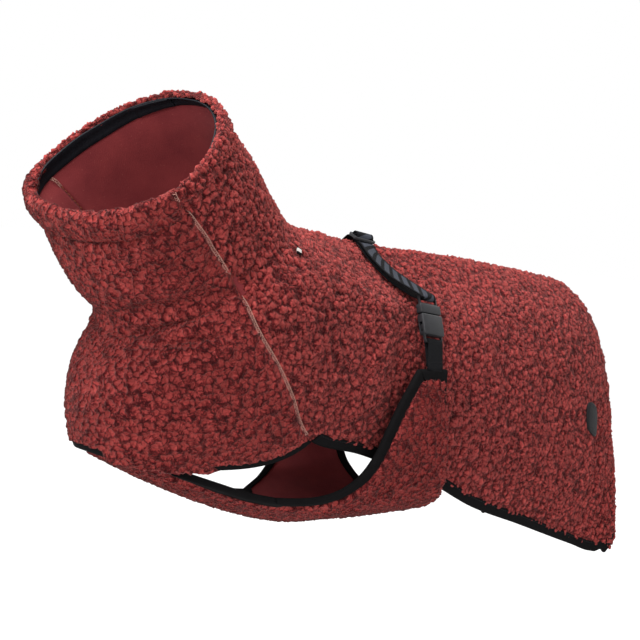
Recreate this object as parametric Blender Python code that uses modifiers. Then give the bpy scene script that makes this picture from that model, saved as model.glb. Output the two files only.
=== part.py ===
"""A dog's winter coat in curly teddy fleece, as it is worn: an empty shell on a standing dog, in metres.

The head looks along -Y, +X is the dog's left side and +Z is up. The origin lies on the wearer's back,
under the middle of the girth strap, where the coat hangs on the dog.

The body is one skin over a row of sections, from the collar's rim to the rear hem. The back panel and
the front panel are cut from it along the shoulder seams, and the belly panel hangs under it. Each
panel is a wall between that skin and one further in, and what is sewn on lies on the panel's points.
"""

import math

import bmesh
import bpy
import numpy as np
from mathutils import Matrix, Vector

# Cloth and trimmings
CLOTH = 0.0055  # fleece with its pile
RIM_CLOTH = 0.0100  # at the rim, where the fleece is folded over to the inside
SEAM_GAP = 0.0003  # between pieces that are sewn to each other
INNER_GAP = 0.0009  # inside a curved wall, whose flat facets stand proud of the curve
SEAM_DIP = 0.0020  # the seams draw the pile in
SEAM_REACH = 0.0060
BOUND_DIP = 0.0025  # and so do the bindings
BINDING_WIDTH = 0.0100
BINDING_FADE = 0.0040  # how soon the pile stands up again beside it
BINDING_CLOTH = 0.0012
BIND_GAP = 0.0006  # between a binding and the pile
TAPE_CLOTH = 0.0010
WEBBING_WIDTH = 0.0200
WEBBING_CLOTH = 0.0012

# The grids' middle lines, by section and by number across
NECK_ROWS = (0.0, 0.25, 0.6, 1.0, 1.4, 1.8, 2.2, 2.7, 3.3, 3.9, 4.4, 4.8, 5.1, 5.5, 6.0, 6.6, 7.3, 8.0, 8.7)
REAR_ROWS = (10.5, 11, 11.5, 12, 12.6, 13.3, 14, 14.8, 15.6, 16.3, 16.8, 17.3, 17.9, 18.5, 19.2, 20)
TAPE_ROWS = (0.25, 1.0)
TAPE_GAP = 0.0006
BACK_COLUMNS = 17
FRONT_COLUMNS = 19
# Grid lines beside a panel's edge, at these distances from it
BOUND_LINES = (0.0, BINDING_WIDTH / 2, BINDING_WIDTH, BINDING_WIDTH + BINDING_FADE)
SEWN_LINES = (SEAM_GAP, 0.0025, SEAM_REACH)

# The body: one row for each section. back, side and front are where the section crosses the spine, the
# left flank and the line of the chest, on the outside of the pile. half_width is across the dog. edge and
# right_edge are the angles from the spine at which the back panel ends: the belly panel's right wing pushes
# the right hem up.
SECTION_COLUMNS = "back_y back_z side_y side_z front_y front_z half_width edge right_edge".split()
SECTIONS = (
    (-0.221, 0.130, -0.290, 0.060, -0.345, 0.014, 0.097, 105.0, 105.0),  # rim
    (-0.211, 0.122, -0.281, 0.048, -0.341, 0.002, 0.098, 104.0, 104.0),  # rolled hem of the rim
    (-0.201, 0.108, -0.270, 0.040, -0.330, -0.010, 0.094, 103.0, 103.0),  # stitched groove under it
    (-0.172, 0.079, -0.245, 0.017, -0.315, -0.038, 0.091, 101.5, 101.5),
    (-0.143, 0.045, -0.222, -0.008, -0.299, -0.060, 0.088, 100.5, 100.5),
    (-0.119, 0.0245, -0.202, -0.026, -0.284, -0.073, 0.089, 102.0, 102.0),  # crease at the foot of the neck
    (-0.091, 0.0185, -0.190, -0.042, -0.290, -0.096, 0.096, 102.0, 102.0),
    (-0.062, 0.0155, -0.178, -0.062, -0.304, -0.128, 0.102, 100.5, 100.5),
    (-0.038, 0.012, -0.158, -0.082, -0.307, -0.165, 0.103, 100.0, 100.0),
    (-0.014, 0.010, -0.126, -0.102, -0.287, -0.205, 0.102, 103.5, 103.5),
    (0.012, 0.008, -0.080, -0.118, -0.200, -0.245, 0.099, 113.5, 113.5),  # foot of the shoulder seam
    (0.042, 0.006, -0.030, -0.135, -0.090, -0.265, 0.094, 112.5, 112.5),
    (0.080, 0.005, 0.050, -0.150, 0.015, -0.290, 0.093, 117.0, 109.5),
    (0.140, 0.002, 0.120, -0.168, 0.098, -0.333, 0.094, 119.0, 106.0),
    (0.200, -0.003, 0.190, -0.185, 0.179, -0.366, 0.096, 119.0, 107.5),
    (0.260, -0.009, 0.245, -0.200, 0.250, -0.391, 0.096, 119.0, 109.5),
    (0.305, -0.015, 0.285, -0.215, 0.292, -0.401, 0.095, 118.5, 109.5),
    (0.338, -0.036, 0.306, -0.240, 0.290, -0.420, 0.094, 112.0, 104.0),
    (0.357, -0.075, 0.320, -0.262, 0.290, -0.440, 0.093, 106.5, 100.0),
    (0.371, -0.135, 0.326, -0.285, 0.290, -0.440, 0.094, 101.0, 95.5),
    (0.382, -0.205, 0.331, -0.300, 0.280, -0.400, 0.095, 97.0, 92.0),
    (0.388, -0.275, 0.333, -0.315, 0.270, -0.360, 0.096, 91.0, 87.0),  # rear hem
)
FLANK_POWER = 0.92  # under 1, the sections are squarer than an ellipse
REAR = len(SECTIONS) - 1.0
SEAM_FOOT = 10.0  # section at which the shoulder seam meets the hem
CHEST_DROP = 1.5  # sections by which the chest's hem rises to the middle of the chest
NECK_FOOT = 5.0  # section at the foot of the neck
WITHERS = 9.8  # section of the withers, beside which the shoulders slope away like a roof
WITHERS_REACH = 3.2
WITHERS_SLOPE = 0.021
WITHERS_WIDTH = 60  # degrees from the spine within which they do
NECK_LEAN = 0.09  # slope of the rim towards the dog's left, fading out at the foot of the neck

# The largest folds of the body: a line from one section and angle to another, how far its slopes reach to
# each side, and its height, which is negative for a trough.
FOLD_COLUMNS = "from_row from_angle to_row to_angle reach height".split()
FOLDS = (
    (5.3, 186, 5.9, 128, 0.011, -0.0050),  # neck folded over the chest
    (4.4, 118, 5.4, 106, 0.009, -0.0040),
    (6.4, 178, 6.9, 120, 0.014, 0.0030),
    (10.6, 58, 11.2, 100, 0.013, -0.0045),  # drawn in beside the belly panel
    (10.0, 62, 10.5, 100, 0.014, 0.0030),
    (8.4, 60, 9.4, 84, 0.015, -0.0025),
    (12.2, 48, 13.4, 92, 0.018, 0.0025),
    (16.4, 56, 16.7, 100, 0.016, -0.0030),
    (18.2, 30, 18.8, 66, 0.016, -0.0025),
    (5.4, 230, 5.7, 196, 0.011, -0.0040),
    (4.5, 245, 5.3, 256, 0.009, -0.0040),
    (10.8, -56, 11.3, -98, 0.014, -0.0040),
    (10.1, -64, 10.6, -102, 0.013, 0.0025),
    (8.6, -58, 9.5, -80, 0.014, -0.0025),
    (12.6, -50, 13.8, -88, 0.017, 0.0025),
    (16.2, -58, 16.6, -98, 0.017, -0.0030),
    (18.4, -28, 18.9, -62, 0.015, -0.0025),
)
FOLD_ROW = 0.032  # a section's and a degree's share of the way along a fold
FOLD_DEGREE = 0.0016

# The belly panel: rows of GIRTH go from the middle under the belly up to the tip on a flank.
GIRTH_COLUMNS = "x z".split()
GIRTH = (
    (0.000, -0.262),
    (0.022, -0.260),
    (0.045, -0.253),
    (0.068, -0.244),
    (0.087, -0.231),
    (0.098, -0.212),
    (0.1035, -0.189),
    (0.1065, -0.163),
    (0.107, -0.136),
    (0.106, -0.106),
)
# Its cut, in rows of GIRTH and metres along the dog. A tongue runs forward to the chest, and its table
# follows its sides from the front end to the root. There the wings begin: their tables have a row for each
# line from the front edge to the rear edge, from the root to the tip. The buckle draws the left wing
# forward.
TONGUE_COLUMNS = "left_at left_y right_at right_y".split()
TONGUE = (
    (2.25, -0.238, 2.25, -0.238),
    (2.60, -0.207, 2.25, -0.192),
    (2.80, -0.176, 2.10, -0.141),
    (3.15, -0.144, 2.25, -0.086),
)
TONGUE_BULGE = 0.054  # of its round front end
WING_COLUMNS = "front_at front_y rear_at rear_y".split()
LEFT_WING = (
    (3.15, -0.144, 2.70, 0.057),
    (4.00, -0.108, 3.70, 0.051),
    (5.00, -0.074, 4.80, 0.043),
    (6.00, -0.055, 5.90, 0.036),
    (7.00, -0.044, 7.00, 0.030),
    (8.00, -0.030, 8.00, 0.027),
    (9.00, -0.009, 9.00, 0.027),
)
RIGHT_WING = (
    (2.25, -0.086, 2.30, 0.076),
    (3.25, -0.047, 3.45, 0.080),
    (4.35, -0.018, 4.55, 0.082),
    (5.50, -0.002, 5.60, 0.077),
    (6.70, 0.004, 6.70, 0.064),
    (7.90, 0.006, 7.85, 0.049),
    (9.00, 0.007, 9.00, 0.039),
)
TIP = float(len(LEFT_WING))  # lines of the cut: 0 in the middle, 1 at the root's corner, TIP at the tip
WING_LINES = (6.0, 5.3, 4.6, 3.9, 3.3, 2.7, 2.3, 1.9, 1.6, 1.3)
MIDDLE_LINES = (0.36, 0.18, 0.0, -0.18, -0.36)
TONGUE_ROWS = (-1.0, -0.8, -0.6, -0.4, -0.2)
TONGUE_SIDE = len(BOUND_LINES) + len(WING_LINES)  # the grid's column there
BELLY_FRONT = -0.292
BELLY_LEVEL = -0.080  # in front of this it rises towards the chest
BELLY_RISE = 0.074
BELLY_CURVE = 1.45

# The girth strap: where it runs, by angle from the spine, and its height over the fleece
STRAP_COLUMNS = "angle y lift".split()
STRAP_FAR = (
    (-68, 0.0220, 0.0045),
    (-58, 0.0170, 0.0025),
    (-48, 0.0115, 0.0018),
    (-35, 0.0050, 0.0018),
    (-22, -0.0010, 0.0018),
    (-9, -0.0070, 0.0018),
)
STRAP_UPPER = (
    (9.5, -0.0135, 0.0048),
    (14, -0.0140, 0.0046),
    (19, -0.0105, 0.0050),
    (25, -0.0040, 0.0062),
    (31, 0.0035, 0.0082),
    (37, 0.0105, 0.0105),
)
STRAP_LOWER = (
    (37, 0.0105, 0.0048),
    (30, 0.0020, 0.0030),
    (24, -0.0050, 0.0021),
    (18, -0.0110, 0.0018),
    (13.5, -0.0138, 0.0018),
    (9.5, -0.0130, 0.0018),
)
SLIDER_PLACE = (3.5, -0.0100, 0.0056)  # angle, y and height of its middle
BUCKLE_TOP = (43.5, 0.0195, 0.0115)
BUCKLE_FOOT = (65.5, 0.0160, 0.0085)
# The webbing's way past the slider: along it and away from the dog, from its middle
THROUGH_SLIDER = (
    (-0.0115, -0.0032),
    (-0.0082, -0.0028),
    (-0.0060, -0.0026),
    (-0.0050, -0.0012),
    (-0.0047, 0.0020),
    (-0.0030, 0.0045),
    (0.0000, 0.0052),
    (0.0030, 0.0045),
    (0.0047, 0.0020),
    (0.0050, -0.0012),
    (0.0060, -0.0026),
    (0.0082, -0.0028),
    (0.0110, -0.0020),
)
UNDER_SLIDER = ((0.0090, -0.0041), (0.0060, -0.0041), (0.0030, -0.0036))

# Hard pieces, along and across the strap
BAR = 0.0026  # thickness of the bars that webbing goes round
WRAP = 0.0029  # from a bar's middle to the middle of the webbing round it
SLIDER_LENGTH = 0.0160
SLIDER_WIDTH = 0.0245
BUCKLE_WIDTH = 0.0280
BUCKLE_THICKNESS = 0.0085
MALE_BAR = -0.0210
FEMALE_BAR = 0.0235
PRONG_REACH = 0.0130

# Small pieces on the back panel: section, angle
TAG_PLACE = (5.36, 57.0)
TAG_SIZE = (0.0045, 0.0090, 0.0012)
TAG_LIFT = 0.0001  # in the hollow of the neck, where the facets lie lower than the curve
PATCH_ROWS = (15.6, 16.25)
PATCH_ANGLES = (70.0, 80.0)
PATCH_CLOTH = 0.0010

FLEECE_COLOUR = (0.29, 0.045, 0.036)
BLACK_COLOUR = (0.012, 0.012, 0.013)
GREY_COLOUR = (0.075, 0.078, 0.085)
TAG_COLOUR = (0.55, 0.50, 0.46)


# Reading the tables


def column(table, columns, name, at):
    """One column of a table at fractional rows, along a smooth curve through its values."""
    values = np.array([row[columns.index(name)] for row in table], float)
    at = np.asarray(at, float)
    i = np.clip(at.astype(int), 0, len(values) - 2)
    t = at - i
    padded = np.concatenate([[2 * values[0] - values[1]], values, [2 * values[-1] - values[-2]]])
    p0, p1, p2, p3 = (padded[i + k] for k in range(4))
    return (
        p1
        + 0.5 * t * (p2 - p0)
        + t**2 * (p0 - 2.5 * p1 + 2 * p2 - 0.5 * p3)
        + t**3 * (1.5 * (p1 - p2) + 0.5 * (p3 - p0))
    )


def smooth(t):
    t = np.clip(t, 0, 1)
    return t * t * (3 - 2 * t)


def unit(vectors):
    return vectors / np.linalg.norm(vectors, axis=-1, keepdims=True)


# The skins


def normals(surface, a, b, step_a, step_b):
    """Outward normals of a skin, whose second direction turned to its first points out of the body."""
    along_a = surface(a + step_a, b) - surface(a - step_a, b)
    along_b = surface(a, b + step_b) - surface(a, b - step_b)
    return unit(np.cross(along_b, along_a))


def plain_body(row, degrees):
    """The body without its folds, at a fractional section and an angle from the spine, the left positive."""
    row, angle = np.broadcast_arrays(np.asarray(row, float), np.radians(np.asarray(degrees, float)))
    read = {name: column(SECTIONS, SECTION_COLUMNS, name, row) for name in SECTION_COLUMNS}
    down = (1 - np.cos(angle)) / 2
    through = (2 * (down - 0.5) * (down - 1), 4 * down * (1 - down), 2 * down * (down - 0.5))
    y, z = (
        sum(share * read[f"{part}_{axis}"] for share, part in zip(through, ("back", "side", "front")))
        for axis in "yz"
    )
    x = read["half_width"] * np.sign(np.sin(angle)) * np.abs(np.sin(angle)) ** FLANK_POWER
    slope = WITHERS_SLOPE * np.exp(-(((row - WITHERS) / WITHERS_REACH) ** 2))
    turned = np.degrees(np.minimum(np.abs(angle), 2 * np.pi - np.abs(angle))) / WITHERS_WIDTH
    z = z - slope * np.sin(np.pi * np.clip(turned, 0, 1)) ** 1.5
    slip = NECK_LEAN * x * np.clip(1 - row / NECK_FOOT, 0, 1)
    return np.stack([x, y + slip, z - slip], axis=-1)


def folds(row, degrees):
    """How far the folds lift or sink the body."""
    row, degrees = np.broadcast_arrays(np.asarray(row, float), np.asarray(degrees, float))
    total = np.zeros(row.shape)
    for from_row, from_angle, to_row, to_angle, reach, height in FOLDS:
        # the right flank has negative angles on the back panel and angles over 180 on the front one
        angle = np.where((min(from_angle, to_angle) < 0) & (degrees > 180), degrees - 360, degrees)
        angle = np.where((max(from_angle, to_angle) > 180) & (angle < 0), angle + 360, angle)
        start = np.array([from_row * FOLD_ROW, from_angle * FOLD_DEGREE])
        way = np.array([to_row * FOLD_ROW, to_angle * FOLD_DEGREE]) - start
        place = np.stack([row * FOLD_ROW, angle * FOLD_DEGREE], axis=-1) - start
        along = np.clip(place @ way / (way @ way), 0, 1)
        apart = np.linalg.norm(place - along[..., None] * way, axis=-1)
        deepest = 1 - 0.6 * np.abs(2 * along - 1) ** 2
        total = total + height * deepest * np.exp(-((apart / reach) ** 2))
    return total


def body(row, degrees):
    lift = folds(row, degrees)[..., None]
    return plain_body(row, degrees) + lift * normals(plain_body, row, degrees, 0.05, 1.0)


def belly(at, y):
    """The belly panel's skin, by rows of GIRTH, the left positive, and by place along the dog."""
    at, y = np.broadcast_arrays(np.asarray(at, float), np.asarray(y, float))
    rise = BELLY_RISE * np.clip((BELLY_LEVEL - y) / (BELLY_LEVEL - BELLY_FRONT), 0, None) ** BELLY_CURVE
    x = column(GIRTH, GIRTH_COLUMNS, "x", np.abs(at)) * np.sign(at)
    return np.stack([x, y, column(GIRTH, GIRTH_COLUMNS, "z", np.abs(at)) + rise], axis=-1)


def body_normals(row, degrees):
    return normals(body, np.asarray(row, float), np.asarray(degrees, float), 0.08, 1.5)


def belly_normals(at, y):
    return normals(belly, np.asarray(at, float), np.asarray(y, float), 0.1, 0.004)


# The cut: each panel as a square, whose sides are its edges


def back_cut(u, v):
    """Left edge at u = 0, right edge at u = 1, rim at v = 0, rear hem at v = 1."""
    row = v * REAR
    left, right = (column(SECTIONS, SECTION_COLUMNS, name, row) for name in ("edge", "right_edge"))
    return row, left * (1 - u) - right * u


def front_cut(u, v):
    """Left seam at u = 0, right seam at u = 1, rim at v = 0, chest hem at v = 1."""
    hem = SEAM_FOOT - CHEST_DROP * (1 - smooth(np.abs(2 * u - 1)))
    row = v * hem
    edge = column(SECTIONS, SECTION_COLUMNS, "edge", row)
    return row, edge + (360 - 2 * edge) * u


def belly_cut(line, along):
    """Lines from TIP on the left to -TIP on the right. Along each, the front edge is at 0 and the rear edge
    at 1. Between lines 1 and -1, the tongue goes on in front of that, to its front end at -1."""
    line, along = np.broadcast_arrays(np.asarray(line, float), np.asarray(along, float))
    u = np.clip((1 - line) / 2, 0, 1)
    ahead = np.clip(along, -1, 0)
    beside = (len(TONGUE) - 1) * (1 + ahead)
    side = {name: column(TONGUE, TONGUE_COLUMNS, name, beside) for name in TONGUE_COLUMNS}
    at = side["left_at"] * (1 - u) - side["right_at"] * u
    y = side["left_y"] * (1 - u) + side["right_y"] * u
    y = y - TONGUE_BULGE * ahead**2 * (1 - (1 - 2 * u) ** 2)
    row = np.clip(np.abs(line) - 1, 0, None)
    ends = []
    for end in ("front", "rear"):
        left_at, right_at = (column(table, WING_COLUMNS, f"{end}_at", row) for table in (LEFT_WING, RIGHT_WING))
        left_y, right_y = (column(table, WING_COLUMNS, f"{end}_y", row) for table in (LEFT_WING, RIGHT_WING))
        ends.append((left_at * (1 - u) - right_at * u, left_y * (1 - u) + right_y * u))
    back = np.clip(along, 0, 1)
    (front_at, front_y), (rear_at, rear_y) = ends
    wing_at = front_at * (1 - back) + rear_at * back
    wing_y = front_y * (1 - back) + rear_y * back
    tongue = along < 0
    return np.where(tongue, at, wing_at), np.where(tongue, y, wing_y)


def edge_lines(skin, cut, side, others, distances, inwards):
    """Places across a panel at given distances from one side, for each place along that side."""
    step = inwards[1] - inwards[0]
    ends = [(end, others) if side == "u" else (others, end) for end in inwards]
    speed = np.linalg.norm(skin(*cut(*ends[0])) - skin(*cut(*ends[1])), axis=-1) / step
    return np.multiply.outer(distances, 1 / speed)


def panel_lines(skin, cut, side, middle, others, start, end, spread=0.25):
    """Where the grid's lines run: beside the start edge, in the middle and beside the end edge. The middle
    lines within a share of the panel called spread move in, to make room for those beside an edge."""
    others = np.asarray(others, float)
    zero, one = np.zeros(others.shape), np.ones(others.shape)
    first = edge_lines(skin, cut, side, others, start, (zero, zero + 0.002))
    last = 1 - edge_lines(skin, cut, side, others, end, (one - 0.002, one))[::-1]
    inner = np.array(middle)[:, None] + zero
    near_start, near_end = (1 - smooth(apart / spread) for apart in (inner, 1 - inner))
    inner = inner + first[-1] * (1 - inner) * near_start - (1 - last[0]) * inner * near_end
    return np.concatenate([first, inner[1:-1], last])


def draw_in(middle, out, thick, drawn):
    """A panel's outer and inner points. drawn holds the edges at which its pile is drawn in: how far, up to
    what distance, and over how much more that fades out."""
    dip = np.zeros(middle.shape[:2])
    for edge, depth, full, fade in drawn:
        apart = np.linalg.norm(middle[:, :, None] - edge[None, None], axis=-1).min(axis=-1)
        dip = np.maximum(dip, depth * (1 - smooth((apart - full) / fade)))
    thick = np.broadcast_to(thick, dip.shape)
    return {"outer": middle - out * dip[..., None], "inner": middle - out * thick[..., None], "out": out}


def panel_grid(skin, skin_normals, cut, across, down, sides, drawn, thickness):
    """A panel's grid: its points, its normals, and where its lines run from the top to the bottom.

    across and down are the middle lines, and sides the distances of the lines beside the left, right, top
    and bottom edges.
    """
    left, right, top, bottom = sides
    u_at = np.concatenate([[0] * len(left), across[1:-1], [1] * len(right)])
    v_at = np.concatenate([[0] * len(top), down[1:-1], [1] * len(bottom)])
    u = panel_lines(skin, cut, "u", across, v_at, left, right).T
    v = panel_lines(skin, cut, "v", down, u_at, top, bottom)
    place = cut(u, v)
    return draw_in(skin(*place), skin_normals(*place), thickness(*place), drawn) | {"v": v}


def beside_edge(run, edge_way, distances):
    """How far to go along lines that cross an edge at a slant, to be at given distances from it."""
    slant = np.linalg.norm(np.cross(unit(run), unit(edge_way)), axis=-1)
    return np.multiply.outer(distances, 1 / (np.linalg.norm(run, axis=-1) * slant))


def belly_places(step=0.01):
    """The belly panel's grid in its cut: the tongue's rows, which end at its sides, then the wings' rows
    from tip to tip. The third result says which points there are."""

    def point(line, along):
        return belly(*belly_cut(line, along))

    def columns(along):
        sides = []
        for turn in (1, -1):
            run = (point(turn * (1 - step), along) - point(turn, along)) / step
            ahead = max(along - step, -1)
            tongue = 1 - beside_edge(run, point(turn, ahead + step) - point(turn, ahead), BOUND_LINES[1:])
            run = (point(turn * (TIP - step), 0.5) - point(turn * TIP, 0.5)) / step
            tip = TIP - beside_edge(run, point(turn * TIP, 1) - point(turn * TIP, 0), BOUND_LINES)
            sides.append(turn * np.array([*tip, *WING_LINES, 1.0, *tongue]))
        return np.array([*sides[0], *MIDDLE_LINES, *sides[1][::-1]])

    lines = columns(0.0)
    held = np.sign(lines) * np.clip(np.abs(lines), 1 + step, TIP - step)
    corners = [-1 - TONGUE_SIDE, TONGUE_SIDE]
    middle = np.abs(lines) < 1

    def shares(end, inwards):
        run = (point(held, end + inwards * step) - point(held, end)) / step
        share = beside_edge(run, point(held + step, end) - point(held - step, end), BOUND_LINES)
        for row in share:
            row[middle] = np.interp(lines[middle], lines[corners], row[corners])
        return share

    front, rear = shares(0, 1), 1 - shares(1, -1)[::-1]
    down = [*front, (front[-1] + rear[0]) / 2, *rear]
    line = np.array([columns(along) for along in TONGUE_ROWS] + [lines] * len(down))
    along = np.array([np.full(lines.shape, along) for along in TONGUE_ROWS] + down)
    present = np.ones(line.shape, bool)
    present[: len(TONGUE_ROWS), :TONGUE_SIDE] = False
    present[: len(TONGUE_ROWS), len(lines) - TONGUE_SIDE :] = False
    return line, along, present


def edge_points(skin, cut, u, v):
    return skin(*cut(*np.broadcast_arrays(np.asarray(u, float), np.asarray(v, float))))


# Meshes


def new_material(name, colour, roughness):
    material = bpy.data.materials.new(name)
    material.use_nodes = True
    shader = material.node_tree.nodes["Principled BSDF"]
    shader.inputs["Base Color"].default_value = (*colour, 1)
    shader.inputs["Roughness"].default_value = roughness
    material.diffuse_color = (*colour, 1)
    return material


def add_object(name, mesh, collection, colour, roughness):
    mesh.materials.clear()
    mesh.materials.append(new_material(name, colour, roughness))
    obj = bpy.data.objects.new(name, mesh)
    collection.objects.link(obj)
    return obj


def main_diagonal(grid, row, across):
    """Whether a panel's cell is split from its first corner. The splits run into the panel's corners."""
    return (row < grid["upper"]) == (across < grid["outer"].shape[1] // 2)


def wall(name, outer, inner, collection, colour, roughness=0.95, ring=False, split=None):
    """A closed wall between two grids of points. Points that aren't numbers are left out, and equal points
    are one vertex. split says for each cell whether it is split from its first corner."""
    mesh = bmesh.new()
    made = {}

    def vertex(point, side):
        key = (side, *(round(float(x), 7) for x in point))
        if key not in made:
            made[key] = mesh.verts.new(point)
        return made[key]

    rows, columns = outer.shape[:2]
    rim = {}
    for i in range(rows if ring else rows - 1):
        for j in range(columns - 1):
            places = [(i, j), ((i + 1) % rows, j), ((i + 1) % rows, j + 1), (i, j + 1)]
            if np.isnan([outer[place] for place in places]).any():
                continue
            pairs = [(vertex(outer[place], "outer"), vertex(inner[place], "inner")) for place in places]
            if split and not split(i, j):
                pairs = pairs[1:] + pairs[:1]
            halves = [pairs[:3], [pairs[2], pairs[3], pairs[0]]]
            for half in halves:
                if len({pair[0] for pair in half}) == 3:
                    mesh.faces.new([pair[0] for pair in half])
                    mesh.faces.new([pair[1] for pair in reversed(half)])
            pairs = [pair for k, pair in enumerate(pairs) if pair[0] != pairs[k - 1][0]]
            if len(pairs) < 3:
                continue
            for k, there in enumerate(pairs):
                here = pairs[k - 1]
                if rim.pop((there[0], here[0]), None) is None:
                    rim[here[0], there[0]] = (here, there)
    for here, there in rim.values():
        mesh.faces.new((there[0], here[0], here[1], there[1]))
    bmesh.ops.recalc_face_normals(mesh, faces=mesh.faces)
    data = bpy.data.meshes.new(name)
    mesh.to_mesh(data)
    mesh.free()
    data.shade_smooth()
    data.set_sharp_from_angle(angle=math.radians(50))
    return add_object(name, data, collection, colour, roughness)


def band(name, path, across, width, cloth, collection, colour):
    """A flat band along a path, with the direction across it at each point."""
    path, across = np.asarray(path), unit(np.asarray(across))
    tangent = unit(np.gradient(path, axis=0))
    up = unit(np.cross(tangent, across))
    sides = np.stack([path - across * width / 2, path + across * width / 2], axis=1)
    lift = up[:, None] * cloth / 2
    return wall(name, sides + lift, sides - lift, collection, colour, 0.8)


def binding(name, grid, stations, collection):
    """A tape folded over a panel's edge. Each station names the panel's points at the edge, at half the
    tape's width and at its whole width."""
    outer, inner, out = (grid[key] for key in ("outer", "inner", "out"))
    over, under = {}, {}
    for edge, half, _ in stations:
        for ways, side in ((over, outer), (under, inner)):
            ways[edge] = ways.get(edge, 0) + unit(side[edge] - side[half])
    faces = []
    for gap, inside in ((BIND_GAP + BINDING_CLOTH, INNER_GAP + BINDING_CLOTH), (BIND_GAP, INNER_GAP)):
        face = [
            [
                outer[full] + out[full] * gap,
                outer[half] + out[half] * gap,
                outer[edge] + out[edge] * gap + unit(over[edge]) * gap,
                inner[edge] - out[edge] * inside + unit(under[edge]) * gap,
                inner[half] - out[half] * inside,
                inner[full] - out[full] * inside,
            ]
            for edge, half, full in stations
        ]
        faces.append(np.array(face))
    for face in faces:  # leave half a seam's gap to the next tape
        for here, near in ((0, 4), (-1, -5)):
            end, way = face[here].copy(), unit(face[near] - face[here])
            for row in face:
                same = np.isclose(row, end, atol=1e-9).all(axis=-1)
                row[same] += (way * SEAM_GAP)[same]

    def split(station, across):
        k = (0, 1, None, 1, 0)[across]  # depths 2-1, 1-0, the rim, 0-1, 1-2
        if k is None:
            return True
        near, far = (1, 2) if k == 0 else (0, 1)
        order = (far, near) if across < 2 else (near, far)
        corners = [stations[station + turn][depth] for turn, depth in zip((0, 1, 1, 0), np.repeat(order, 2))]
        low = min(row for row, _ in corners), min(column for _, column in corners)
        main = main_diagonal(grid, *low)
        first = low if main else (low[0] + 1, low[1])
        other = (low[0] + 1, low[1] + 1) if main else (low[0], low[1] + 1)
        return corners[0] in (first, other) and corners[2] in (first, other)

    return wall(name, *faces, collection, BLACK_COLOUR, 0.85, split=split)


def side_stations(shape, side, first, last, mitred=(False, False)):
    """Stations of a binding along one side of a grid, square or cut on the mitre at its ends."""
    rows, columns = shape

    def place(depth, along):
        along = max(along, first + depth * mitred[0])
        along = min(along, last - depth * mitred[1])
        return {
            "left": (along, depth),
            "right": (along, columns - 1 - depth),
            "bottom": (rows - 1 - depth, along),
        }[side]

    return [[place(depth, along) for depth in range(3)] for along in range(first, last + 1)]


def tongue_stations(shape, turn):
    """Stations from a tip along the wing's front edge, round the root's corner and along the tongue."""
    top, side = len(TONGUE_ROWS), TONGUE_SIDE

    def place(row, along):
        return row, along if turn == 1 else shape[1] - 1 - along

    stations = [[place(top + depth, max(along, depth)) for depth in range(3)] for along in range(side + 1)]
    corner = [((0, 0), (1, 1), (2, 1)), ((0, 0), (1, 1), (2, 2)), ((0, 0), (1, 1), (1, 2)), ((0, 0), (0, 1), (0, 2))]
    stations += [[place(top + row, side + along) for row, along in station] for station in corner]
    return stations + [[place(row, side + depth) for depth in range(3)] for row in reversed(range(top))]


def over_body(angle, y, lift):
    """Points over the fleece at angles from the spine and places along the dog, with their normals."""
    angle, y, lift = np.broadcast_arrays(*(np.atleast_1d(np.asarray(value, float)) for value in (angle, y, lift)))
    rows = np.linspace(SEAM_FOOT - 3, SEAM_FOOT + 5, 161)
    lines = body(rows, angle[:, None] + 0 * rows)
    row = np.array([np.interp(place, line[:, 1], rows) for place, line in zip(y, lines)])
    out = body_normals(row, angle)
    return body(row, angle) + out * lift[:, None], out


# The pieces


def coat_thickness(row, _):
    """The rim is folded over to the inside, and rounded."""
    folded = 1 - smooth((row - 0.25) / 0.3)
    rounded = 0.35 + 0.65 * smooth(row / 0.3)
    return (CLOTH + (RIM_CLOTH - CLOTH) * folded) * rounded


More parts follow.
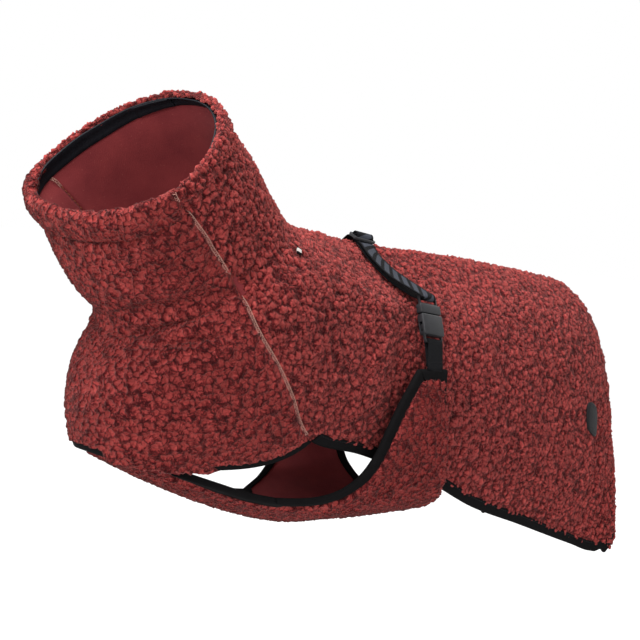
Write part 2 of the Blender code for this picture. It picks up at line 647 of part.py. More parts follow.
def make_panels(collection):
    """The three cloth panels. What is sewn on lies on their grids."""
    seam = np.linspace(0, SEAM_FOOT / REAR, 90)
    hem = np.linspace(SEAM_FOOT / REAR, 1, 120)
    across = np.linspace(0, 1, 160)
    back_hem = [edge_points(body, back_cut, side, hem) for side in (0, 1)]
    back_hem = np.concatenate([*back_hem, edge_points(body, back_cut, across, 1)])
    chest_hem = edge_points(body, front_cut, across, 1)
    seams = [(edge_points(body, back_cut, side, seam), SEAM_DIP, 0.0, SEAM_REACH) for side in (0, 1)]
    bound = (BOUND_DIP, BINDING_WIDTH + 0.0015, BINDING_FADE)

    front = panel_grid(
        body, body_normals, front_cut, np.linspace(0, 1, FRONT_COLUMNS),
        np.array([*NECK_ROWS, 9.3, SEAM_FOOT]) / SEAM_FOOT,
        (SEWN_LINES, SEWN_LINES, (0.0,), BOUND_LINES), [(chest_hem, *bound), *seams], coat_thickness,
    )
    seam_rows = front["v"][:, 0] * SEAM_FOOT
    back = panel_grid(
        body, body_normals, back_cut, np.linspace(0, 1, BACK_COLUMNS),
        np.array([*seam_rows, *REAR_ROWS, REAR]) / REAR,
        (BOUND_LINES, BOUND_LINES, (0.0,), BOUND_LINES), [(back_hem, *bound), *seams], coat_thickness,
    )
    line, along, present = belly_places()
    place = belly_cut(line, along)
    edges = [
        edge_points(belly, belly_cut, turn * start, stop)
        for turn in (1, -1)
        for start, stop in ((1, np.linspace(-1, 0, 60)), (np.linspace(1, TIP, 100), 0), (TIP, np.linspace(0, 1, 20)))
    ]
    edges = np.concatenate([*edges, edge_points(belly, belly_cut, np.linspace(-TIP, TIP, 200), 1)])
    under = draw_in(belly(*place), belly_normals(*place), CLOTH, [(edges, *bound)])
    for side in ("outer", "inner"):
        under[side][~present] = np.nan
    under["upper"] = len(TONGUE_ROWS) + len(BOUND_LINES)
    for name, grid in (("back_panel", back), ("front_panel", front), ("belly_panel", under)):
        grid.setdefault("upper", 0)

        def split(row, across, grid=grid):
            return main_diagonal(grid, row, across)

        wall(name, grid["outer"], grid["inner"], collection, FLEECE_COLOUR, split=split)
    return back, front, under, len(seam_rows) - 1


def make_bindings(back, front, under, foot, collection):
    """Black tape folded over every cut edge below the collar."""
    shape = back["outer"].shape[:2]
    for side in ("left", "right"):
        stations = side_stations(shape, side, foot, shape[0] - 1, (False, True))
        binding(f"back_hem_binding_{side}", back, stations, collection)
    stations = side_stations(shape, "bottom", 0, shape[1] - 1, (True, True))
    binding("back_hem_binding_rear", back, stations, collection)
    shape = front["outer"].shape[:2]
    stations = side_stations(shape, "bottom", 1, shape[1] - 2)
    binding("chest_hem_binding", front, stations, collection)
    shape = under["outer"].shape[:2]
    for side, turn in (("left", 1), ("right", -1)):
        binding(f"belly_binding_front_{side}", under, tongue_stations(shape, turn), collection)
        stations = side_stations(shape, side, len(TONGUE_ROWS), shape[0] - 1, (True, True))
        binding(f"belly_binding_tip_{side}", under, stations, collection)
    stations = side_stations(shape, "bottom", 0, shape[1] - 1, (True, True))
    binding("belly_binding_rear", under, stations, collection)


def make_collar_tape(back, front, collection):
    """A tape over the raw edge of the rim's folded fleece, round the inside."""
    first, last = (NECK_ROWS.index(row) for row in TAPE_ROWS)
    pieces = [(back, slice(0, None)), (front, slice(-3, 1, -1))]
    inner = np.concatenate([grid["inner"][first : last + 1, part] for grid, part in pieces], axis=1)
    out = np.concatenate([grid["out"][first : last + 1, part] for grid, part in pieces], axis=1)
    inner, out = inner.swapaxes(0, 1), out.swapaxes(0, 1)
    near, far = inner - out * TAPE_GAP, inner - out * (TAPE_GAP + TAPE_CLOTH)
    wall("collar_tape", near, far, collection, BLACK_COLOUR, 0.6, ring=True)


def plate(name, outlines, thickness, collection, colour):
    """A flat piece from closed outlines, the first its edge and the others its slots."""
    curve = bpy.data.curves.new(name, "CURVE")
    curve.dimensions = "2D"
    curve.fill_mode = "BOTH"
    curve.extrude = thickness / 2
    for outline in outlines:
        spline = curve.splines.new("POLY")
        spline.points.add(len(outline) - 1)
        spline.points.foreach_set("co", np.array([(x, y, 0, 1) for x, y in outline]).ravel())
        spline.use_cyclic_u = True
    flat = bpy.data.objects.new(name, curve)
    collection.objects.link(flat)
    evaluated = flat.evaluated_get(bpy.context.evaluated_depsgraph_get())
    mesh = bpy.data.meshes.new_from_object(evaluated)
    bpy.data.objects.remove(flat)
    work = bmesh.new()
    work.from_mesh(mesh)
    bmesh.ops.remove_doubles(work, verts=work.verts, dist=1e-6)
    bmesh.ops.recalc_face_normals(work, faces=work.faces)
    work.to_mesh(mesh)
    work.free()
    mesh.name = name
    return add_object(name, mesh, collection, colour, 0.45)


def rectangle(x0, x1, y0, y1):
    return [(x0, y0), (x1, y0), (x1, y1), (x0, y1)]


def block(name, low, high, collection, colour=GREY_COLOUR):
    """A box between two corners, from Blender's cube."""
    low, high = Vector(low), Vector(high)
    bpy.ops.mesh.primitive_cube_add(size=1)
    obj = bpy.context.active_object
    obj.name = name
    obj.data.transform(Matrix.Translation((low + high) / 2) @ Matrix.Diagonal((*(high - low), 1)))
    for held in list(obj.users_collection):
        held.objects.unlink(obj)
    collection.objects.link(obj)
    obj.data.materials.append(new_material(name, colour, 0.45))
    return obj


def round_edges(obj, width, segments=2):
    bevel = obj.modifiers.new("rounded edges", "BEVEL")
    bevel.width = width
    bevel.segments = segments
    bevel.limit_method = "ANGLE"


def combine(obj, operation, other, cutters):
    """Joins another shape to an object or cuts it out, and keeps that shape as a cutter."""
    boolean = obj.modifiers.new(other.name, "BOOLEAN")
    boolean.operation = operation
    boolean.object = other
    other.hide_render = True
    other.display_type = "WIRE"
    for held in list(other.users_collection):
        held.objects.unlink(other)
    cutters.objects.link(other)


def buckle_frame():
    """The buckle's place: its middle, along the strap towards the tip, across it, and away from the dog."""
    (top, foot), out = over_body(*np.transpose([BUCKLE_TOP, BUCKLE_FOOT]))
    along = unit(foot - top)
    out = unit(out.sum(axis=0))
    out = unit(out - along * (out @ along))
    return (top + foot) / 2, along, np.cross(out, along), out


def slider_frame():
    """The slider's place, its first direction down the strap on the left side."""
    angle, y, lift = SLIDER_PLACE
    (middle, ahead), (out, _) = over_body([angle, angle + 8], [y, y - 0.004], lift)
    along = ahead - middle
    along = unit(along - out * (along @ out))
    return middle, along, np.cross(out, along), out


def set_place(obj, frame):
    middle, along, across, out = frame
    matrix = Matrix([[*row] for row in np.stack([along, across, out], axis=1)]).to_4x4()
    matrix.translation = Vector(middle)
    obj.matrix_world = matrix


def make_buckle(frame, collection, cutters):
    """A side-release buckle, closed: the prongs sit inside the socket."""
    half = BUCKLE_WIDTH / 2
    end = MALE_BAR - BAR / 2
    arm = [(0.002, 0.0072), (0.002, 0.0104), (0.0060, 0.0108), (0.0075, PRONG_REACH), (0.0125, PRONG_REACH)]
    arm += [(0.0150, 0.0100), (0.0150, 0.0084), (0.0045, 0.0072)]
    left = [(end, half - 0.002), (-0.0040, half - 0.002), (-0.0040, 0.0104), *arm[1:-1], (0.0045, 0.0072)]
    middle = [(-0.0040, 0.0072), (-0.0040, 0.0026), (0.0110, 0.0018)]
    outline = left + middle
    outline += [(x, -y) for x, y in reversed(outline)]
    slot = rectangle(MALE_BAR + BAR / 2, MALE_BAR + 0.0060, -0.0108, 0.0108)
    male = plate("buckle_male", [outline, slot], BAR, collection, GREY_COLOUR)
    grip = block("male_grip", (-0.0135, -half, -0.0036), (-0.0042, half, 0.0036), collection)
    round_edges(grip, 0.0012)
    combine(male, "UNION", grip, cutters)

    tail = FEMALE_BAR + BAR / 2
    outline = [(-0.003, half - 0.001), (0.016, half - 0.001), (tail, half - 0.0022)]
    outline += [(x, -y) for x, y in reversed(outline)]
    slot = rectangle(FEMALE_BAR - 0.0057, FEMALE_BAR - BAR / 2, -0.0108, 0.0108)
    female = plate("buckle_female", [outline, slot], BAR, collection, GREY_COLOUR)
    shell_size = (-0.0035, -half, -BUCKLE_THICKNESS / 2), (0.0175, half, BUCKLE_THICKNESS / 2)
    shell = block("female_shell", *shell_size, collection)
    round_edges(shell, 0.0018)
    combine(female, "UNION", shell, cutters)
    room = BAR / 2 + 0.0006
    socket = block("female_socket", (-0.0050, -0.0116, -room), (0.0160, 0.0116, room), collection)
    combine(female, "DIFFERENCE", socket, cutters)
    window = block("female_window", (0.0045, -0.0200, -room), (0.0140, 0.0200, room), collection)
    combine(female, "DIFFERENCE", window, cutters)
    for piece in (male, female, grip, shell, socket, window):
        set_place(piece, frame)


def make_slider(frame, collection):
    """A flat slider with a bar in the middle."""
    half = SLIDER_WIDTH / 2
    edge = SLIDER_LENGTH / 2
    corner = 0.002
    outline = [(-edge, half - corner), (-edge + corner, half), (edge - corner, half), (edge, half - corner)]
    outline += [(x, -y) for x, y in reversed(outline)]
    slots = [rectangle(*sorted((turn * BAR / 2, turn * 0.0062)), -0.0106, 0.0106) for turn in (1, -1)]
    slider = plate("slider", [outline, *slots], BAR, collection, GREY_COLOUR)
    set_place(slider, frame)


def from_frame(frame, rows):
    """Points and directions across the webbing, from rows of places along and away in a hard piece's frame."""
    middle, along, across, out = frame
    rows = np.asarray(rows, float)
    return middle + rows[:, :1] * along + rows[:, 1:] * out, np.repeat([across], len(rows), axis=0)


def wrap(at, start, stop, count, radius=WRAP):
    """Rows round a bar, by angle from away-from-the-dog towards the strap's own direction."""
    turn = np.radians(np.linspace(start, stop, count))
    return np.stack([at + radius * np.sin(turn), radius * np.cos(turn)], axis=-1)


def over_fleece(table, count):
    """Points and directions across the webbing along one stretch of the strap."""
    at = np.linspace(0, len(table) - 1, count)
    place, out = over_body(*(column(table, STRAP_COLUMNS, name, at) for name in STRAP_COLUMNS))
    return place, np.cross(out, unit(np.gradient(place, axis=0)))


def tip_end(under, column_at, towards):
    """Where webbing meets a tip's binding, with the direction up from the tip and that across."""
    outer, inner = under["outer"][len(TONGUE_ROWS) :, column_at], under["inner"][len(TONGUE_ROWS) :, column_at]
    middle = (outer + inner)[len(outer) // 2] / 2
    up = unit(outer[len(outer) // 2] - under["outer"][len(TONGUE_ROWS) + len(outer) // 2, towards])
    return middle + up * (BINDING_CLOTH + BIND_GAP + 2 * SEAM_GAP), up, unit(outer[0] - outer[-1])


def make_strap(buckle, slider, under, collection):
    """The girth strap runs from the right tip over the back, through the slider, to the buckle. There it
    turns round the bar and comes back under itself to the slider's bar. A short tab holds the socket."""
    end, up, across = tip_end(under, -1, -2)
    start = np.array([end, end + up * 0.004, end + up * 0.009])
    far = over_fleece(STRAP_FAR, 22)
    through = from_frame(slider, THROUGH_SLIDER)
    upper = over_fleece(STRAP_UPPER, 10)
    turned = from_frame(buckle, wrap(MALE_BAR, -10, 190, 9))
    lower = over_fleece(STRAP_LOWER, 9)
    hooked = from_frame(slider, [*UNDER_SLIDER, *wrap(0, 180, 395, 9)])
    places = [start, far[0], through[0], upper[0], turned[0], lower[0], hooked[0]]
    ways = [np.repeat([-across], 3, axis=0), far[1], through[1], upper[1], turned[1], -lower[1], hooked[1]]
    path, ways = np.concatenate(places), np.concatenate(ways)
    ways[(ways @ slider[2]) < 0] *= -1
    band("strap_webbing", path, ways, WEBBING_WIDTH, WEBBING_CLOTH, collection, BLACK_COLOUR)

    end, up, across = tip_end(under, 0, 1)
    apart = (WEBBING_CLOTH + SEAM_GAP) / 2 * buckle[3]
    turned, ways = from_frame(buckle, wrap(FEMALE_BAR, 30, -210, 11))
    path = [end + apart, end + up * 0.006 + apart, *turned, end + up * 0.006 - apart, end - apart]
    across = across * np.sign(across @ buckle[2])
    ways = np.array([across, across, *ways, across, across])
    band("strap_tab", path, ways, WEBBING_WIDTH, WEBBING_CLOTH, collection, BLACK_COLOUR)


def make_small_pieces(collection):
    row, angle = TAG_PLACE
    out = body_normals(row, angle)
    along = unit(body(row + 0.1, angle) - body(row, angle))
    across = np.cross(out, along)
    along, across = across, -along
    width, length, thick = TAG_SIZE
    low = (-length / 2, -width / 2, TAG_LIFT)
    tag = block("nape_tag", low, (length / 2, width / 2, TAG_LIFT + thick), collection, TAG_COLOUR)
    round_edges(tag, 0.0004, 1)
    set_place(tag, (body(row, angle), along, across, out))

    row, angle = np.meshgrid(np.linspace(*PATCH_ROWS, 6), np.linspace(*PATCH_ANGLES, 4), indexing="ij")
    place, out = body(row, angle), body_normals(row, angle)
    wall(
        "rear_patch", place + out * (INNER_GAP + PATCH_CLOTH), place + out * INNER_GAP,
        collection, BLACK_COLOUR, 0.6,
    )


def main():
    for obj in list(bpy.data.objects):
        bpy.data.objects.remove(obj)
    coat = bpy.data.collections.new("dog_winter_coat")
    cutters = bpy.data.collections.new("cutters")
    for collection in (coat, cutters):
        bpy.context.scene.collection.children.link(collection)
    back, front, under, foot = make_panels(coat)
    make_bindings(back, front, under, foot, coat)
    make_collar_tape(back, front, coat)
    buckle, slider = buckle_frame(), slider_frame()
    make_buckle(buckle, coat, cutters)
    make_slider(slider, coat)
    make_strap(buckle, slider, under, coat)
    make_small_pieces(coat)


main()
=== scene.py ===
"""The looks of a dog's winter coat in curly teddy fleece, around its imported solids, in metres.

The skins, the cut and the strap's way repeat the tables that the solids were made from, on finer grids.
The head looks along -Y, +X is the dog's left side and +Z is up.
"""

import math

import bmesh
import bpy
import numpy as np
from mathutils import Matrix, Vector


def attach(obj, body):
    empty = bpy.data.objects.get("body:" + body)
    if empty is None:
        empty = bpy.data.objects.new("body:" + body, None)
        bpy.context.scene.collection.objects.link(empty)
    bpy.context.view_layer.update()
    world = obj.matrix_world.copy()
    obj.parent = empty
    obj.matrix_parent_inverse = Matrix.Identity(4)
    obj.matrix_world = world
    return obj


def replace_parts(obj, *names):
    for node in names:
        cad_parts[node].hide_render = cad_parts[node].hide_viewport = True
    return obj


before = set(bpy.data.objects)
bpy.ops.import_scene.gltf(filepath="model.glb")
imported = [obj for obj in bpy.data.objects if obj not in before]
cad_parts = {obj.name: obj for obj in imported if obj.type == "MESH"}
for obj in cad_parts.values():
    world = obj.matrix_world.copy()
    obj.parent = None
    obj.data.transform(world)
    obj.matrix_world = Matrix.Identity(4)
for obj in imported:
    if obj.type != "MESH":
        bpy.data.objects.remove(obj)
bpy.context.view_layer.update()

# Cloth and trimmings
CLOTH = 0.0055
RIM_ROLL = 0.0047  # radius of the fleece rolled over at the rim
RIM_STEP = 0.0135  # length of a section there
SEAM_DIP = 0.0020
SEAM_REACH = 0.0060
BOUND_DIP = 0.0025
BINDING_WIDTH = 0.0100
BINDING_CLOTH = 0.0011
BIND_GAP = 0.0005
STATION = 0.003  # between the stations of a tape
TAPE_EDGE = 0.0095  # from the fold, beyond which a tape turns down to the cloth
WEBBING_WIDTH = 0.0200
WEBBING_CLOTH = 0.0012
FINE = {"back": 0.00203, "front": 0.00118, "belly": 0.00125}  # grid steps of the panels
LINING_EVERY = 4

SECTION_COLUMNS = "back_y back_z side_y side_z front_y front_z half_width edge right_edge".split()
SECTIONS = (
    (-0.221, 0.130, -0.290, 0.060, -0.345, 0.014, 0.097, 105.0, 105.0),  # rim
    (-0.211, 0.122, -0.281, 0.048, -0.341, 0.002, 0.098, 104.0, 104.0),
    (-0.201, 0.108, -0.270, 0.040, -0.330, -0.010, 0.094, 103.0, 103.0),
    (-0.172, 0.079, -0.245, 0.017, -0.315, -0.038, 0.091, 101.5, 101.5),
    (-0.143, 0.045, -0.222, -0.008, -0.299, -0.060, 0.088, 100.5, 100.5),
    (-0.119, 0.0245, -0.202, -0.026, -0.284, -0.073, 0.089, 102.0, 102.0),  # foot of the neck
    (-0.091, 0.0185, -0.190, -0.042, -0.290, -0.096, 0.096, 102.0, 102.0),
    (-0.062, 0.0155, -0.178, -0.062, -0.304, -0.128, 0.102, 100.5, 100.5),
    (-0.038, 0.012, -0.158, -0.082, -0.307, -0.165, 0.103, 100.0, 100.0),
    (-0.014, 0.010, -0.126, -0.102, -0.287, -0.205, 0.102, 103.5, 103.5),
    (0.012, 0.008, -0.080, -0.118, -0.200, -0.245, 0.099, 113.5, 113.5),  # foot of the shoulder seam
    (0.042, 0.006, -0.030, -0.135, -0.090, -0.265, 0.094, 112.5, 112.5),
    (0.080, 0.005, 0.050, -0.150, 0.015, -0.290, 0.093, 117.0, 109.5),
    (0.140, 0.002, 0.120, -0.168, 0.098, -0.333, 0.094, 119.0, 106.0),
    (0.200, -0.003, 0.190, -0.185, 0.179, -0.366, 0.096, 119.0, 107.5),
    (0.260, -0.009, 0.245, -0.200, 0.250, -0.391, 0.096, 119.0, 109.5),
    (0.305, -0.015, 0.285, -0.215, 0.292, -0.401, 0.095, 118.5, 109.5),
    (0.338, -0.036, 0.306, -0.240, 0.290, -0.420, 0.094, 112.0, 104.0),
    (0.357, -0.075, 0.320, -0.262, 0.290, -0.440, 0.093, 106.5, 100.0),
    (0.371, -0.135, 0.326, -0.285, 0.290, -0.440, 0.094, 101.0, 95.5),
    (0.382, -0.205, 0.331, -0.300, 0.280, -0.400, 0.095, 97.0, 92.0),
    (0.388, -0.275, 0.333, -0.315, 0.270, -0.360, 0.096, 91.0, 87.0),  # rear hem
)
FLANK_POWER = 0.92
REAR = len(SECTIONS) - 1.0
SEAM_FOOT = 10.0
CHEST_DROP = 1.5
NECK_FOOT = 5.0
WITHERS = 9.8
WITHERS_REACH = 3.2
WITHERS_SLOPE = 0.021
WITHERS_WIDTH = 60
NECK_LEAN = 0.09

# The folds: those of the solids, then the finer creases of the cloth
FOLD_COLUMNS = "from_row from_angle to_row to_angle reach height".split()
FOLDS = (
    (5.3, 186, 5.9, 128, 0.011, -0.0050),
    (4.4, 118, 5.4, 106, 0.009, -0.0040),
    (6.4, 178, 6.9, 120, 0.014, 0.0030),
    (10.6, 58, 11.2, 100, 0.013, -0.0045),
    (10.0, 62, 10.5, 100, 0.014, 0.0030),
    (8.4, 60, 9.4, 84, 0.015, -0.0025),
    (12.2, 48, 13.4, 92, 0.018, 0.0025),
    (16.4, 56, 16.7, 100, 0.016, -0.0030),
    (18.2, 30, 18.8, 66, 0.016, -0.0025),
    (5.4, 230, 5.7, 196, 0.011, -0.0040),
    (4.5, 245, 5.3, 256, 0.009, -0.0040),
    (10.8, -56, 11.3, -98, 0.014, -0.0040),
    (10.1, -64, 10.6, -102, 0.013, 0.0025),
    (8.6, -58, 9.5, -80, 0.014, -0.0025),
    (12.6, -50, 13.8, -88, 0.017, 0.0025),
    (16.2, -58, 16.6, -98, 0.017, -0.0030),
    (18.4, -28, 18.9, -62, 0.015, -0.0025),
)
CREASES = (
    (2.1, 104, 2.15, 140, 0.0032, -0.0030),  # the stitched groove under the rim
    (2.15, 134, 1.9, 184, 0.0032, -0.0034),
    (2.1, 256, 2.1, 220, 0.0032, -0.0028),
    (2.1, 226, 1.9, 180, 0.0032, -0.0030),
    (1.9, 104, 1.95, 20, 0.0035, -0.0016),
    (1.9, -104, 1.95, -20, 0.0035, -0.0016),
    (1.0, 103.5, 2.0, 102.5, 0.0045, -0.0036),  # pockets at the shoulder seams
    (4.4, 98.0, 5.4, 101.5, 0.0050, -0.0050),
    (1.0, -103.5, 2.0, -102.5, 0.0045, -0.0030),
    (4.5, -99, 5.3, -102, 0.0050, -0.0044),
    (3.2, 98, 3.9, 112, 0.005, -0.0024),
    (5.0, 95, 5.6, 100, 0.006, -0.0030),
    (5.9, 112, 6.6, 104, 0.005, -0.0020),
    (3.4, -97, 3.9, -104, 0.005, -0.0022),
    (5.1, -98, 5.7, -103, 0.006, -0.0028),
    (5.5, 170, 5.4, 116, 0.0048, -0.0060),  # the neck's wrinkles
    (6.1, 139, 6.4, 113, 0.0042, -0.0036),
    (5.8, 152, 5.85, 120, 0.0060, 0.0022),
    (4.3, 168, 4.7, 118, 0.0150, -0.0052),
    (2.9, 150, 3.6, 116, 0.0120, -0.0020),
    (5.5, 194, 5.4, 240, 0.0048, -0.0048),
    (6.0, 214, 6.3, 242, 0.0042, -0.0030),
    (4.2, 196, 4.7, 240, 0.0150, -0.0044),
    (4.2, 72, 5.0, 92, 0.007, -0.0020),
    (4.5, 40, 5.0, 74, 0.008, -0.0018),
    (4.3, -70, 5.0, -94, 0.007, -0.0020),
    (4.6, -42, 5.1, -70, 0.008, -0.0016),
    (5.9, 60, 6.8, 92, 0.009, 0.0016),
    (7.0, 40, 8.2, 86, 0.010, -0.0016),
    (7.4, -44, 8.4, -88, 0.010, -0.0016),
    (9.6, 66, 10.1, 104, 0.007, -0.0018),
    (9.7, -60, 10.2, -100, 0.007, -0.0018),
    (11.2, 70, 11.8, 112, 0.009, 0.0018),
    (13.0, 62, 13.7, 110, 0.010, -0.0016),
    (14.6, 40, 15.1, 96, 0.011, 0.0014),
    (13.4, -60, 13.8, -100, 0.010, -0.0016),
    (14.8, -44, 15.2, -92, 0.011, 0.0014),
    (17.0, 44, 17.9, 90, 0.010, -0.0015),
    (17.2, -40, 17.9, -84, 0.010, -0.0015),
    (19.0, 66, 20.4, 78, 0.010, 0.0016),
    (19.2, -62, 20.5, -74, 0.010, 0.0016),
    (7.6, 168, 8.2, 118, 0.010, -0.0016),
    (7.8, 236, 8.3, 196, 0.010, -0.0016),
)
FOLD_ROW = 0.032
FOLD_DEGREE = 0.0016
FOLD_FADE = 0.6  # how much lower a fold is at its ends

GIRTH_COLUMNS = "x z".split()
GIRTH = (
    (0.000, -0.262),
    (0.022, -0.260),
    (0.045, -0.253),
    (0.068, -0.244),
    (0.087, -0.231),
    (0.098, -0.212),
    (0.1035, -0.189),
    (0.1065, -0.163),
    (0.107, -0.136),
    (0.106, -0.106),
)
TONGUE_COLUMNS = "left_at left_y right_at right_y".split()
TONGUE = (
    (2.25, -0.238, 2.25, -0.238),
    (2.60, -0.207, 2.25, -0.192),
    (2.80, -0.176, 2.10, -0.141),
    (3.15, -0.144, 2.25, -0.086),
)
TONGUE_BULGE = 0.054
WING_COLUMNS = "front_at front_y rear_at rear_y".split()
LEFT_WING = (
    (3.15, -0.144, 2.70, 0.057),
    (4.00, -0.108, 3.70, 0.051),
    (5.00, -0.074, 4.80, 0.043),
    (6.00, -0.055, 5.90, 0.036),
    (7.00, -0.044, 7.00, 0.030),
    (8.00, -0.030, 8.00, 0.027),
    (9.00, -0.009, 9.00, 0.027),
)
RIGHT_WING = (
    (2.25, -0.086, 2.30, 0.076),
    (3.25, -0.047, 3.45, 0.080),
    (4.35, -0.018, 4.55, 0.082),
    (5.50, -0.002, 5.60, 0.077),
    (6.70, 0.004, 6.70, 0.064),
    (7.90, 0.006, 7.85, 0.049),
    (9.00, 0.007, 9.00, 0.039),
)
TIP = float(len(LEFT_WING))
BELLY_FRONT = -0.292
BELLY_LEVEL = -0.080
BELLY_RISE = 0.074
BELLY_CURVE = 1.45
# Soft creases of the belly panel: place in rows of GIRTH and along the dog, reach and height
BELLY_CREASES = (
    (3.0, -0.060, 5.6, -0.020, 0.010, -0.0022),
    (4.6, 0.010, 7.4, 0.000, 0.008, -0.0018),
    (6.4, -0.022, 8.2, 0.004, 0.006, 0.0014),
    (1.0, -0.120, 3.2, -0.100, 0.012, -0.0016),
    (-3.2, 0.010, -5.6, 0.030, 0.010, -0.0022),
    (-4.8, 0.050, -7.2, 0.030, 0.008, -0.0018),
    (-1.0, -0.150, -2.2, -0.110, 0.012, -0.0016),
    (0.2, -0.040, 2.4, 0.030, 0.014, 0.0016),
    (-0.4, 0.000, -2.4, 0.050, 0.014, -0.0016),
)
BELLY_ROW = 0.024

STRAP_COLUMNS = "angle y lift".split()
STRAP_FAR = (
    (-68, 0.0220, 0.0045),
    (-58, 0.0170, 0.0025),
    (-48, 0.0115, 0.0018),
    (-35, 0.0050, 0.0018),
    (-22, -0.0010, 0.0018),
    (-9, -0.0070, 0.0018),
)
STRAP_UPPER = (
    (9.5, -0.0135, 0.0048),
    (14, -0.0140, 0.0046),
    (19, -0.0105, 0.0050),
    (25, -0.0040, 0.0062),
    (31, 0.0035, 0.0082),
    (37, 0.0105, 0.0105),
)
STRAP_LOWER = (
    (37, 0.0105, 0.0048),
    (30, 0.0020, 0.0030),
    (24, -0.0050, 0.0021),
    (18, -0.0110, 0.0018),
    (13.5, -0.0138, 0.0018),
    (9.5, -0.0130, 0.0018),
)
SLIDER_PLACE = (3.5, -0.0100, 0.0056)
BUCKLE_TOP = (43.5, 0.0195, 0.0115)
BUCKLE_FOOT = (65.5, 0.0160, 0.0085)
THROUGH_SLIDER = (
    (-0.0115, -0.0032),
    (-0.0082, -0.0028),
    (-0.0060, -0.0026),
    (-0.0050, -0.0012),
    (-0.0047, 0.0020),
    (-0.0030, 0.0045),
    (0.0000, 0.0052),
    (0.0030, 0.0045),
    (0.0047, 0.0020),
    (0.0050, -0.0012),
    (0.0060, -0.0026),
    (0.0082, -0.0028),
    (0.0110, -0.0020),
)
UNDER_SLIDER = ((0.0090, -0.0041), (0.0060, -0.0041), (0.0030, -0.0036))
WRAP = 0.0029
MALE_BAR = -0.0210
FEMALE_BAR = 0.0235

TAG_PLACE = (5.36, 57.0)
TAG_SIZE = (0.0045, 0.0090, 0.0012)
PATCH_ROWS = (15.6, 16.25)
PATCH_ANGLES = (70.0, 80.0)
PATCH_LIFT = 0.0022


# Reading the tables, and the skins


def column(table, columns, name, at):
    """One column of a table at fractional rows, along a smooth curve through its values."""
    values = np.array([row[columns.index(name)] for row in table], float)
    at = np.asarray(at, float)
    i = np.clip(at.astype(int), 0, len(values) - 2)
    t = at - i
    padded = np.concatenate([[2 * values[0] - values[1]], values, [2 * values[-1] - values[-2]]])
    p0, p1, p2, p3 = (padded[i + k] for k in range(4))
    return (
        p1
        + 0.5 * t * (p2 - p0)
        + t**2 * (p0 - 2.5 * p1 + 2 * p2 - 0.5 * p3)
        + t**3 * (1.5 * (p1 - p2) + 0.5 * (p3 - p0))
    )


def smooth(t):
    t = np.clip(t, 0, 1)
    return t * t * (3 - 2 * t)


def unit(vectors):
    return vectors / np.linalg.norm(vectors, axis=-1, keepdims=True)


def normals(surface, a, b, step_a, step_b):
    along_a = surface(a + step_a, b) - surface(a - step_a, b)
    along_b = surface(a, b + step_b) - surface(a, b - step_b)
    return unit(np.cross(along_b, along_a))


def plain_body(row, degrees):
    row, angle = np.broadcast_arrays(np.asarray(row, float), np.radians(np.asarray(degrees, float)))
    read = {name: column(SECTIONS, SECTION_COLUMNS, name, row) for name in SECTION_COLUMNS}
    down = (1 - np.cos(angle)) / 2
    through = (2 * (down - 0.5) * (down - 1), 4 * down * (1 - down), 2 * down * (down - 0.5))
    y, z = (
        sum(share * read[f"{part}_{axis}"] for share, part in zip(through, ("back", "side", "front")))
        for axis in "yz"
    )
    x = read["half_width"] * np.sign(np.sin(angle)) * np.abs(np.sin(angle)) ** FLANK_POWER
    slope = WITHERS_SLOPE * np.exp(-(((row - WITHERS) / WITHERS_REACH) ** 2))
    turned = np.degrees(np.minimum(np.abs(angle), 2 * np.pi - np.abs(angle))) / WITHERS_WIDTH
    z = z - slope * np.sin(np.pi * np.clip(turned, 0, 1)) ** 1.5
    slip = NECK_LEAN * x * np.clip(1 - row / NECK_FOOT, 0, 1)
    return np.stack([x, y + slip, z - slip], axis=-1)


def fold_lift(table, first, second, first_scale, second_scale, turns=False):
    """How far the folds of a table lift or sink a skin."""
    first, second = np.broadcast_arrays(np.asarray(first, float), np.asarray(second, float))
    total = np.zeros(first.shape)
    scales = np.array([first_scale, second_scale])
    for from_first, from_second, to_first, to_second, reach, height in table:
        other = second
        if turns:
            other = np.where((min(from_second, to_second) < 0) & (other > 180), other - 360, other)
            other = np.where((max(from_second, to_second) > 180) & (other < 0), other + 360, other)
        start = np.array([from_first, from_second]) * scales
        way = np.array([to_first, to_second]) * scales - start
        place = np.stack([first, other], axis=-1) * scales - start
        along = np.clip(place @ way / (way @ way), 0, 1)
        apart = np.linalg.norm(place - along[..., None] * way, axis=-1)
        fading = 1 - FOLD_FADE * np.abs(2 * along - 1) ** 2
        total = total + height * fading * np.exp(-((apart / reach) ** 2))
    return total


def body(row, degrees):
    lift = fold_lift(FOLDS, row, degrees, FOLD_ROW, FOLD_DEGREE, True)[..., None]
    return plain_body(row, degrees) + lift * normals(plain_body, row, degrees, 0.05, 1.0)


def belly(at, y):
    at, y = np.broadcast_arrays(np.asarray(at, float), np.asarray(y, float))
    rise = BELLY_RISE * np.clip((BELLY_LEVEL - y) / (BELLY_LEVEL - BELLY_FRONT), 0, None) ** BELLY_CURVE
    x = column(GIRTH, GIRTH_COLUMNS, "x", np.abs(at)) * np.sign(at)
    return np.stack([x, y, column(GIRTH, GIRTH_COLUMNS, "z", np.abs(at)) + rise], axis=-1)


def body_normals(row, degrees):
    return normals(body, np.asarray(row, float), np.asarray(degrees, float), 0.08, 1.5)


def belly_normals(at, y):
    return normals(belly, np.asarray(at, float), np.asarray(y, float), 0.1, 0.004)


def body_creases(row, degrees):
    return fold_lift(CREASES, row, degrees, FOLD_ROW, FOLD_DEGREE, True)


def belly_creases(at, y):
    return fold_lift(BELLY_CREASES, at, y, BELLY_ROW, 1.0)


def back_cut(u, v):
    row = v * REAR
    left, right = (column(SECTIONS, SECTION_COLUMNS, name, row) for name in ("edge", "right_edge"))
    return row, left * (1 - u) - right * u


